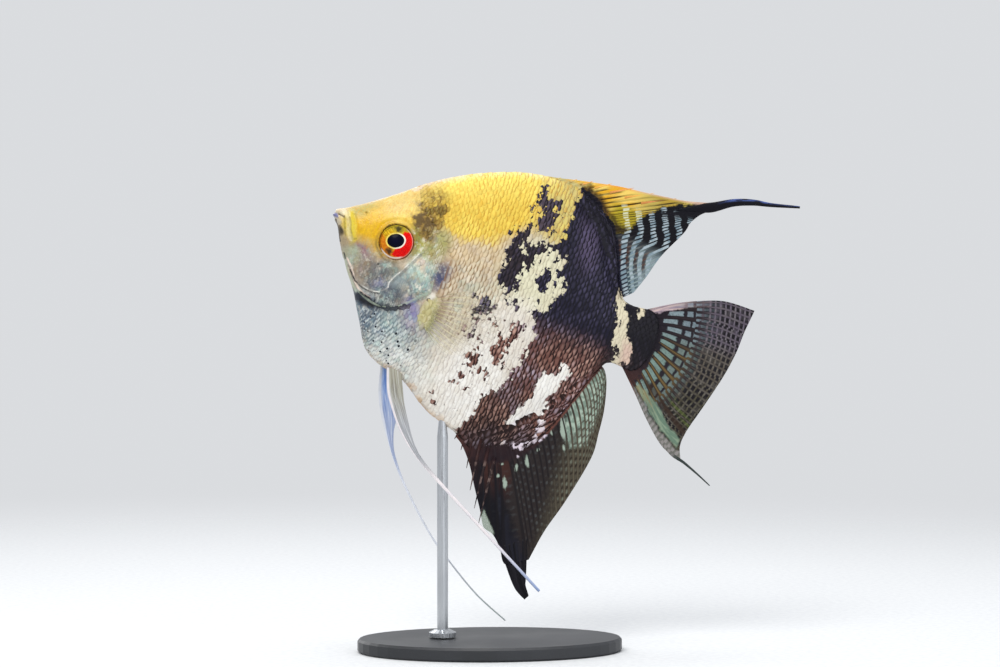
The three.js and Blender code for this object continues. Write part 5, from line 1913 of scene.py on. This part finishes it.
def dorsal_material():
    material, n = new_material("dorsal_web")
    rays, ray, run, cell, gap, x, z = fin_parts(n)
    place = n.stored("place")
    yellow_edge, black_edge, _ = n.apart(n.stored("regions"))
    kind = n.stored("kind_mark", "Fac")
    grit = n.noise(place, 1.3, 3, 0.65) - 0.5
    shifted = cell + (rays["Luck"] - 0.5) * 0.12 + grit * 0.35
    off_bar = abs(n.fraction(shifted + 20.5) - 0.5)
    on_ray = n.fade(gap, 0.12, 0.24)
    in_web = 1 - on_ray
    low = n.step(z, 20.5, 16.5)
    first = n.step(cell, 0.55, 0.35)
    bar_width = 0.22 + first * low * 0.16
    bar = n.fade(off_bar - bar_width, -0.05, 0.05) * in_web * n.step(cell, -0.6, -0.45)
    black = n.step(black_edge + grit * 1.2, -0.25, 0.25)
    web = n.mix(low, "0f0e15", n.mix(n.step(cell, 0.4, 2.6), "3f4f58", "728890"))
    web = n.mix(
        bar * n.step(z, 29.4, 28.2) * 0.95, web,
        n.mix(n.step(n.noise(place, 0.5), 0.4, 0.6), "8196a2", "b2c0c8"),
    )
    piece = low * n.step(off_bar, 0.24, 0.34) * n.step(cell, 3.3, 2.5) * n.step(z, 12, 14.5)
    piece = piece * n.step(n.noise(place, 0.6, 2), 0.36, 0.52, 0.3, 1)
    ray_colour = n.mix(low, "0e0d13", "8fa0a2")
    ray_colour = n.mix(first * low, ray_colour, "2a2c38")
    ray_colour = n.mix(piece, ray_colour, "55301c")
    colour = n.mix(on_ray * 0.92, web, ray_colour)
    colour = n.mix(piece * in_web * 0.85, colour, "3b2620")
    yellow = n.step(yellow_edge + grit * 1.6, -0.3, 0.35)
    hair = n.noise(n.together(ray * 1.1, run * 0.12), 1, 2)
    gold = n.mix(n.step(hair, 0.42, 0.6), "e5ad2c", "f5d36c")
    gold = n.mix(n.step(x, 53, 57) * n.step(z, 26.6, 24.8), gold, "b3a02a")
    gold = n.mix(n.step(x, 57, 64) * n.step(z, 24.8, 26.6) * 0.6, gold, "8f8a45")
    under = (x - 38) * 0.205 + 25.4 - z
    lines = (
        n.step(gap, 0.24, 0.38) * n.step(z, 22, 25, 0.5, 1) * n.step(hair, 0.72, 0.45, 0.3, 1)
        * n.step(x, 47, 51) * n.step(under, 0.4, 1.1)
    )
    gold = n.mix(lines * 0.92, gold, "241a0c")
    fleck = bar * n.step(x, 56.2, 57.8) * n.step(z, 26.6, 25.2)
    gold = n.mix(fleck * 0.9, gold, "dcdfc0")
    colour = n.mix(yellow, colour, gold)
    dark_edge = n.apart(n.stored("marks"))[0]
    dusky = n.step(dark_edge + grit * 1.6, -1.7, 0.1) * yellow * n.step(x, 47, 49) * 0.95
    colour = n.mix(dusky, colour, "241812")
    wedge = black * n.step(z - (x - 62) * 0.3, 24.6, 26.4) * n.step(x, 61.5, 65)
    colour = n.mix(wedge, colour, "100f17")
    over = under * -1
    rim = n.step(over + (x - 60) * 0.02, -0.5, 0.15) * n.step(x, 77, 75)
    colour = n.mix(rim * 0.85, colour, n.mix(n.step(x, 56, 62), "f0a545", "dcb9a4"))
    spine = n.step(kind, 0.4, 0.6) * n.step(kind, 1.6, 1.4)
    colour = n.mix(spine * 0.8, colour, n.mix(n.step(hair, 0.4, 0.6), "f2b75c", "e8935a"))
    streamer = n.step(kind, 1.5, 1.9)
    # Painted highlight: blue streaks along the streamer's upper edge, from x 76 on.
    streamer_highlight = n.step(ray, 1.4, 0.5) * n.step(n.noise(n.together(run * 0.4, ray, 0), 1, 2), 0.35, 0.65)
    colour = n.mix(streamer, colour, n.mix(streamer_highlight * n.step(x, 76, 80), "0c0b14", "4c5f9c"))
    colour = over_base(n, colour, grit)
    clear = (
        low * in_web * (1 - yellow) * n.step(cell, 0.5, 2.4)
        * n.step(n.stored("beyond", "Fac"), 0.8, 1.8)
    )
    alpha = 1 - clear * (1 - n.most(bar * 0.6, piece * 0.9)) * 0.45
    fin_surface(n, colour, alpha)
    return material


def caudal_material():
    material, n = new_material("caudal_web")
    rays, ray, run, cell, gap, x, z = fin_parts(n)
    place = n.stored("place")
    lobe_edge, border_edge, top_highlight_edge = n.apart(n.stored("regions"))
    kind = n.stored("kind_mark", "Fac")
    grit = n.noise(place, 1.7, 3, 0.65) - 0.5
    shifted = cell + (rays["Luck"] - 0.5) * 0.4 + grit * 0.3
    part = n.fraction(shifted + 20)
    forked = n.step(cell, 2.15, 2.4)
    split_gap = gap * (1 - forked) + rays["Fork Gap"] * 0.8 * forked
    on_ray = n.fade(split_gap, 0.14, 0.26)
    in_web = 1 - on_ray
    upper = n.step(z + (x - 76) * -0.1, 1, 5)
    web = n.mix(n.step(cell, 1.5, 4), "241f26", "2c282d")
    window = n.between(part, 0.12, 0.82, 0.06) * in_web * n.step(shifted, -0.02, 0.04)
    first = n.step(cell, 1.15, 0.95)
    pale = n.mix(first, n.mix(upper, "72827d", "83939d"), n.mix(upper, "809a92", "8fa1a8"))
    pale = n.mix(n.step(n.noise(place, 1.6, 3, 0.7), 0.4, 0.7, 0, 0.55), pale, "4f5a5a")
    fade = n.step(cell, 2.2, 5, 0.95, 0)
    fade = n.most(fade, upper * n.step(cell, 8, 3) * 0.6)
    colour = n.mix(window * fade, web, pale)
    outer = n.step(cell + grit * 1.2, 2, 4.2)
    grid_colour = n.mix(upper, n.mix(n.step(z, 0, -8), "5c554b", "4e4a3a"), "6b6270")
    grid_colour = n.mix(n.step(n.noise(place, 0.8, 2), 0.4, 0.65, 0, 0.35), grid_colour, "8a8580")
    square = n.between(part, 0.1, 0.78, 0.1) * n.step(split_gap, 0.04, 0.16)
    checker = n.mix(square * n.step(n.noise(place, 0.6), 0.3, 0.55, 0.6, 1), grid_colour, "141217")
    colour = n.mix(outer * (1 - window * fade * 0.7), colour, checker)
    ochre = n.between(z, -12, 1.6, 1.2) * n.step(cell, 3.4, 1.6)
    ray_colour = n.mix(ochre * n.step(rays["Luck"], 0.3, 0.5, 0.4, 1), "2a2125", "6f5a35")
    colour = n.mix(on_ray * n.step(cell, 5, 2.4, 0.3, 0.9), colour, ray_colour)
    dark_side = n.between(gap, 0.1, 0.24, 0.03) * n.step(cell, 2.6, 1.6)
    colour = n.mix(dark_side * 0.7, colour, "1f1a1c")
    base = n.fade(shifted + grit * 1.2 + n.step(gap, 0.1, 0.4) * 0.25, 0.1, 0.26)
    colour = n.mix(base, colour, n.mix(n.step(z, -3, -9), "1f1a22", "3f2a29"))
    lobe = n.step(lobe_edge + grit * 0.4, -0.2, 0.45)
    hair = n.noise(n.together(ray * 3, run * 0.22), 1, 2)
    lobe_colour = n.mix(n.step(x, 76, 81), "8d9678", "6a8270")
    lobe_colour = n.mix(
        n.step(hair, 0.46, 0.62, 0, 0.55), lobe_colour,
        n.mix(n.step(x, 82, 78), "9dae94", "96794e"),
    )
    colour = n.mix(lobe * 0.95, colour, lobe_colour)
    ray_line = z + (x - 76.5) * 0.6
    bundle = (
        n.between(ray_line + grit * 0.5, -8.9, -7.6, 0.3) * n.step(x, 75, 77)
        * n.step(hair, 0.3, 0.6, 0.6, 1)
    )
    colour = n.mix(bundle * 0.9, colour, "35271f")
    olive = n.between(ray_line, -6.8, -5, 0.6) * n.step(x, 81, 85) * in_web
    colour = n.mix(olive * 0.5, colour, "5f6b35")
    border = n.step(border_edge + grit * 0.3, -0.2, 0.3)
    pearls = n.step(n.fraction(run * 0.8), 0.3, 0.6, 0, 0.5)
    border_colour = n.mix(n.step(x, 73, 77), "5f3b33", n.mix(pearls, "75756f", "aea6a6"))
    colour = n.mix(border * 0.9, colour, border_colour)
    # Painted highlight: lilac-white streaks along the upper edge, strong near the root and faint beyond.
    top = n.step(top_highlight_edge + grit * 0.9, -0.1, 0.3)
    colour = n.mix(
        top * n.step(x, 81, 75.5, 0.15, 0.9), colour,
        n.mix(n.step(hair, 0.4, 0.6), "d6bfbc", "a390a0"),
    )
    streamer = n.step(kind, 1.5, 1.9)
    colour = n.mix(streamer * n.step(x, 87, 90), colour, "333c3a")
    alpha = 1 - window * fade * (1 - base) * 0.14
    fin_surface(n, colour, alpha)
    return material


def anal_material():
    material, n = new_material("anal_web")
    _, ray, run, cell, gap, x, z = fin_parts(n)
    place = n.stored("place")
    green_edge, front_edge, dash_edge = n.apart(n.stored("regions"))
    kind = n.stored("kind_mark", "Fac")
    grit = n.noise(place, 1.5, 3, 0.65) - 0.5
    shifted = cell + n.math("FLOOR", ray) * 0.5 + grit * 0.55
    off_dot = abs(n.fraction(shifted + 20.5) - 0.5)
    middle = 0.5 - gap
    on_ray = n.fade(gap, 0.1, 0.22)
    rear = n.step(x + z * 0.12 + grit * 4, 59, 65)
    web = n.mix(rear, "292323", "464035")
    front = n.step(front_edge + grit * 2.5, -1.2, 1.4)
    hair = n.noise(n.together(ray * 0.8, run * 0.07), 1, 2)
    brown = n.mix(n.step(hair, 0.38, 0.64), "3c2420", "0d0d16")
    brown = n.mix(n.step(z, -39, -46), brown, n.mix(n.step(hair, 0.5, 0.62), "0c0b13", "1a1a24"))
    web = n.mix(front, web, brown)
    off_centre = n.root(off_dot * off_dot * 1.2 + middle * middle)
    glow = n.step(n.noise(place, 0.5, 3), 0.38, 0.66, 0.05, 0.8)
    dot = n.fade(off_centre, 0.1, 0.34) * (1 - front * 0.85) * glow
    dot = dot * n.step(z, -55, -44)
    colour = n.mix(dot, web, n.mix(rear, "45484a", "72786a"))
    square = n.step(off_dot, 0.3, 0.4) * n.step(gap, 0.12, 0.26) * rear * n.step(z, -46, -38)
    colour = n.mix(square * 0.75, colour, "241d19")
    colour = n.mix(on_ray * 0.7, colour, n.mix(rear, "120f14", "5d5648"))
    green = n.step(green_edge + grit * 2.2, -0.5, 0.6)
    strip = (
        green * n.step(gap, 0.1, 0.26)
        * n.step(n.noise(n.together(ray, run * 0.25), 1, 2), 0.35, 0.5, 0.5, 1)
    )
    colour = n.mix(
        strip * 0.9, colour, n.mix(n.step(n.noise(place, 0.8), 0.4, 0.6), "84988b", "b0c2b2"),
    )
    edge_dark = green * n.step(off_dot, 0.3, 0.42) * n.step(x, 65, 67.6) * n.step(gap, 0.05, 0.2)
    colour = n.mix(edge_dark * 0.8, colour, "3c2a22")
    dash = n.step(dash_edge + grit * 0.5, -0.12, 0.2)
    colour = n.mix(dash * n.step(gap, 0.04, 0.2) * 0.85, colour, "a9b9ab")
    spine = n.step(kind, 0.4, 0.6) * n.step(kind, 1.6, 1.4)
    flecked = n.step(n.noise(place, 0.6, 2), 0.46, 0.62, 0, 0.6)
    colour = n.mix(spine * 0.9, colour, n.mix(flecked, "2b2022", "8e7770"))
    away = z + (x - 53.8) * 0.97
    clear = (
        n.step(away + grit * 0.6, -47.3, -47.9) * n.step(x, 53.4, 53.9) * n.step(x, 58, 57.2)
        * n.step(z, -46.5, -47.6)
    )
    clear = clear * n.step(kind, 0.5, 0.4)
    colour = n.mix(clear * 0.85, colour, "8c9f88")
    streamer = n.step(kind, 1.5, 1.9)
    colour = n.mix(streamer, colour, n.mix(n.step(hair, 0.4, 0.6), "0d0c13", "1f1d24"))
    colour = over_base(n, colour, grit, 1.8)
    alpha = 1 - clear * 0.5
    fin_surface(n, colour, alpha)
    return material


def pelvic_material(name, blade, streaks, outer, feeler, tip, clearness):
    material, n = new_material(name)
    _, ray, run, *_ = fin_parts(n)
    across = ray * (1 / 7)
    fine = n.noise(n.together(ray * 3.2, run * 0.14), 1, 3, 0.6)
    coarse = n.noise(n.together(ray * 0.9, run * 0.1), 1, 2)
    colour = n.mix(n.step(fine, 0.4, 0.62), blade, streaks)
    colour = n.mix(n.step(run + fine * 6, 7, 17, 0, 0.85), colour, outer)
    colour = n.mix(n.step(coarse, 0.5, 0.66, 0, 0.4), colour, "f4f6f8")
    lead = n.step(across, 0.82, 0.9)
    long_out = n.step(run, 20, 28)
    ray_share = n.most(lead, long_out)
    bands = n.step(n.noise(n.together(run, 0, 0), 0.6, 2), 0.35, 0.7, 0, 0.15)
    cord = n.mix(bands, feeler, tip)
    cord = n.mix(n.step(run, 42, 62), cord, tip)
    colour = n.mix(ray_share, colour, cord)
    web = (1 - ray_share) * n.step(fine, 0.6, 0.4) * n.step(run, 1, 5)
    alpha = 1 - web * clearness
    fin_surface(n, colour, alpha, 0.3, 0.36)
    return material


def pectoral_material():
    material, n = new_material("pectoral_web")
    _, _, run, _, gap, *_ = fin_parts(n)
    on_ray = n.fade(gap, 0.06, 0.15)
    fork = n.fade(abs(gap - 0.25), 0.05, 0.12) * n.step(run, 6, 9)
    drawn = n.most(on_ray * n.step(run, 11, 7, 0.4, 1), fork)
    root = n.step(run, 5.5, 0.5)
    colour = n.mix(root, "cfc4a6", "b3b078")
    colour = n.mix(
        on_ray * n.step(run, 0.2, 4) * 0.8, colour, n.mix(n.step(run, 2, 6), "a5a668", "dcd3aa"),
    )
    colour = n.mix(n.step(run, 1.4, 0.3, 0, 0.8), colour, "e3dcae")
    body = n.step(run, 0.2, 2.6, 0.6, 0)
    alpha = n.most(body, drawn * n.step(run, 1, 12, 0.55, 0.06))
    fin_surface(n, colour, alpha, 0.3, 0.4)
    return material


# ---- Stand finishes -----------------------------------------------------------------------

def stand_black_material():
    material, n = new_material("stand_black")
    at = n.add("TexCoord", {})["Object"]
    grain = n.noise(at, 1900, 3, 0.6)
    blotch = n.noise(at, 60, 2)
    colour = n.mix(n.step(blotch, 0.35, 0.65), "232529", "2b2d32")
    colour = n.mix(n.step(grain, 0.62, 0.78, 0, 0.35), colour, "4a4d54")
    surface(
        n, {"Coat Weight": 0.1, "Coat Roughness": 0.3, "Specular IOR Level": 0.45},
        Base_Color=colour, Roughness=n.step(blotch, 0.3, 0.7, 0.42, 0.55),
        Normal=n.bump(grain, 5e-05, 0.5),
    )
    return material


def stand_steel_material():
    material, n = new_material("stand_steel")
    at = n.add("TexCoord", {})["Object"]
    brushed = n.noise(n.add("Mapping", {"Vector": at, "Scale": (5000, 5000, 120)})[0], 1, 2)
    smudge = n.noise(at, 90, 2)
    colour = n.mix(n.step(brushed, 0.3, 0.7), "b2b5b9", "bdc0c4")
    colour = n.mix(n.step(smudge, 0.5, 0.7, 0, 0.2), colour, "8e9196")
    surface(
        n, {"Metallic": 1}, Base_Color=colour,
        Roughness=n.step(brushed + smudge, 0.7, 1.3, 0.22, 0.4), Normal=n.bump(brushed, 1e-06, 0.2),
    )
    return material


def dress_node(name, material):
    """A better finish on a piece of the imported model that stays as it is."""
    node = frame["nodes"][name]
    if not node.material_slots:
        node.data.materials.append(material)
    for held in node.material_slots:
        held.material = material


# ---- Stage, light and camera --------------------------------------------------------------

TARGET = Vector((0.00219, 0, 0.0695))
CAMERA_AZIMUTH = math.radians(-5)
CAMERA_ELEVATION = math.radians(1)
CAMERA_DISTANCE = 0.607
AMBIENT = 0.46  # how strongly the surroundings light the fish
SURROUNDINGS = 0.74  # how pale they look


def direction(azimuth, elevation):
    level = math.cos(elevation)
    return Vector((math.sin(azimuth) * level, -math.cos(azimuth) * level, math.sin(elevation)))


def set_facing(thing, place, target):
    thing.location = place
    thing.rotation_euler = (target - place).to_track_quat("-Z", "Y").to_euler()


def make_camera():
    camera = bpy.data.cameras.new("camera")
    camera.lens = 100
    camera.sensor_width = 36
    camera.clip_start = 0.01
    viewer = new_object("camera", camera)
    set_facing(
        viewer, TARGET + direction(CAMERA_AZIMUTH, CAMERA_ELEVATION) * CAMERA_DISTANCE, TARGET,
    )
    bpy.context.scene.camera = viewer


def make_lamp(name, place, size, power, colour=(1, 1, 1)):
    lamp = bpy.data.lights.new(name, "AREA")
    lamp.shape = "DISK"
    lamp.size = size
    lamp.energy = power
    lamp.color = colour
    set_facing(new_object(name, lamp), Vector(place), TARGET)


def make_floor():
    """A pale floor that fades into the pale surroundings away from the stand."""
    bm = bmesh.new()
    bmesh.ops.create_circle(bm, cap_ends=True, segments=96, radius=0.9)
    mesh = mesh_of("floor", bm, False)
    floor = new_object("floor", mesh)
    material, n = new_material("pale_floor")
    at = n.add("TexCoord", {})["Object"]
    off = n.add("VectorMath", {0: at}, operation="LENGTH")["Value"]
    grain = n.noise(at, 700, 3)
    colour = n.mix(n.step(grain, 0.3, 0.7), "dfe1e4", "e6e8ea")
    surface(
        n, {"Roughness": 0.9, "Specular IOR Level": 0.1}, Base_Color=colour,
        Alpha=n.fade(off, 0.1, 0.5),
    )
    mesh.materials.append(material)


def make_studio():
    studio = bpy.data.worlds.new("studio")
    studio.use_nodes = True
    studio.node_tree.nodes.clear()
    n = Nodes(studio.node_tree)
    path = n.add("LightPath", {})
    mirrored = n.most(path["Is Glossy Ray"], path["Is Transmission Ray"])
    seen = n.most(path["Is Camera Ray"], mirrored)
    strength = n.step(seen, 0, 1, AMBIENT, SURROUNDINGS)
    background = n.add("Background", {"Color": (0.95, 0.97, 1, 1), "Strength": strength})
    n.add("OutputWorld", {"Surface": background[0]})
    bpy.context.scene.world = studio
    make_lamp("key", (-0.3, -0.55, 0.7), 0.45, 4.25, (1, 0.985, 0.95))
    make_lamp("top", (0.05, 0.05, 0.8), 0.5, 2.9)
    make_lamp("fill", (0.55, -0.6, 0.2), 0.6, 1.2, (0.94, 0.97, 1))
    make_lamp("back", (-0.35, 0.6, 0.45), 0.6, 1.6)


make_camera()
make_floor()
make_studio()
make_skin(skin_material())
make_coat(scale_material())
EYE_MATERIAL = eye_material()
for eye_side, eye_word in ((-1, "left"), (1, "right")):
    make_eye(eye_side, eye_word, EYE_MATERIAL)
make_dorsal_fin(dorsal_material())
make_anal_fin(anal_material())
make_caudal_fin(caudal_material())
PELVIC_NEAR = pelvic_material(
    "pelvic_web_near", "948f80", "b5b4a6", "a9acb4", "f0e8e9", "8fa5d0", 0.35,
)
PELVIC_FAR = pelvic_material(
    "pelvic_web_far", "5f86cf", "a9bfe6", "a3aecb", "dfe3ee", "aeb7ba", 0.15,
)
make_pelvic_fin("left", PELVIC_LEFT, 0.42, 1.0, PELVIC_NEAR)
make_pelvic_fin("right", PELVIC_RIGHT, 0.38, 0.45, PELVIC_FAR)
make_pectoral_fins(pectoral_material())
dress_node("stand_base", stand_black_material())
dress_node("stand_rod", stand_steel_material())

bpy.context.scene.view_settings.view_transform = "Standard"
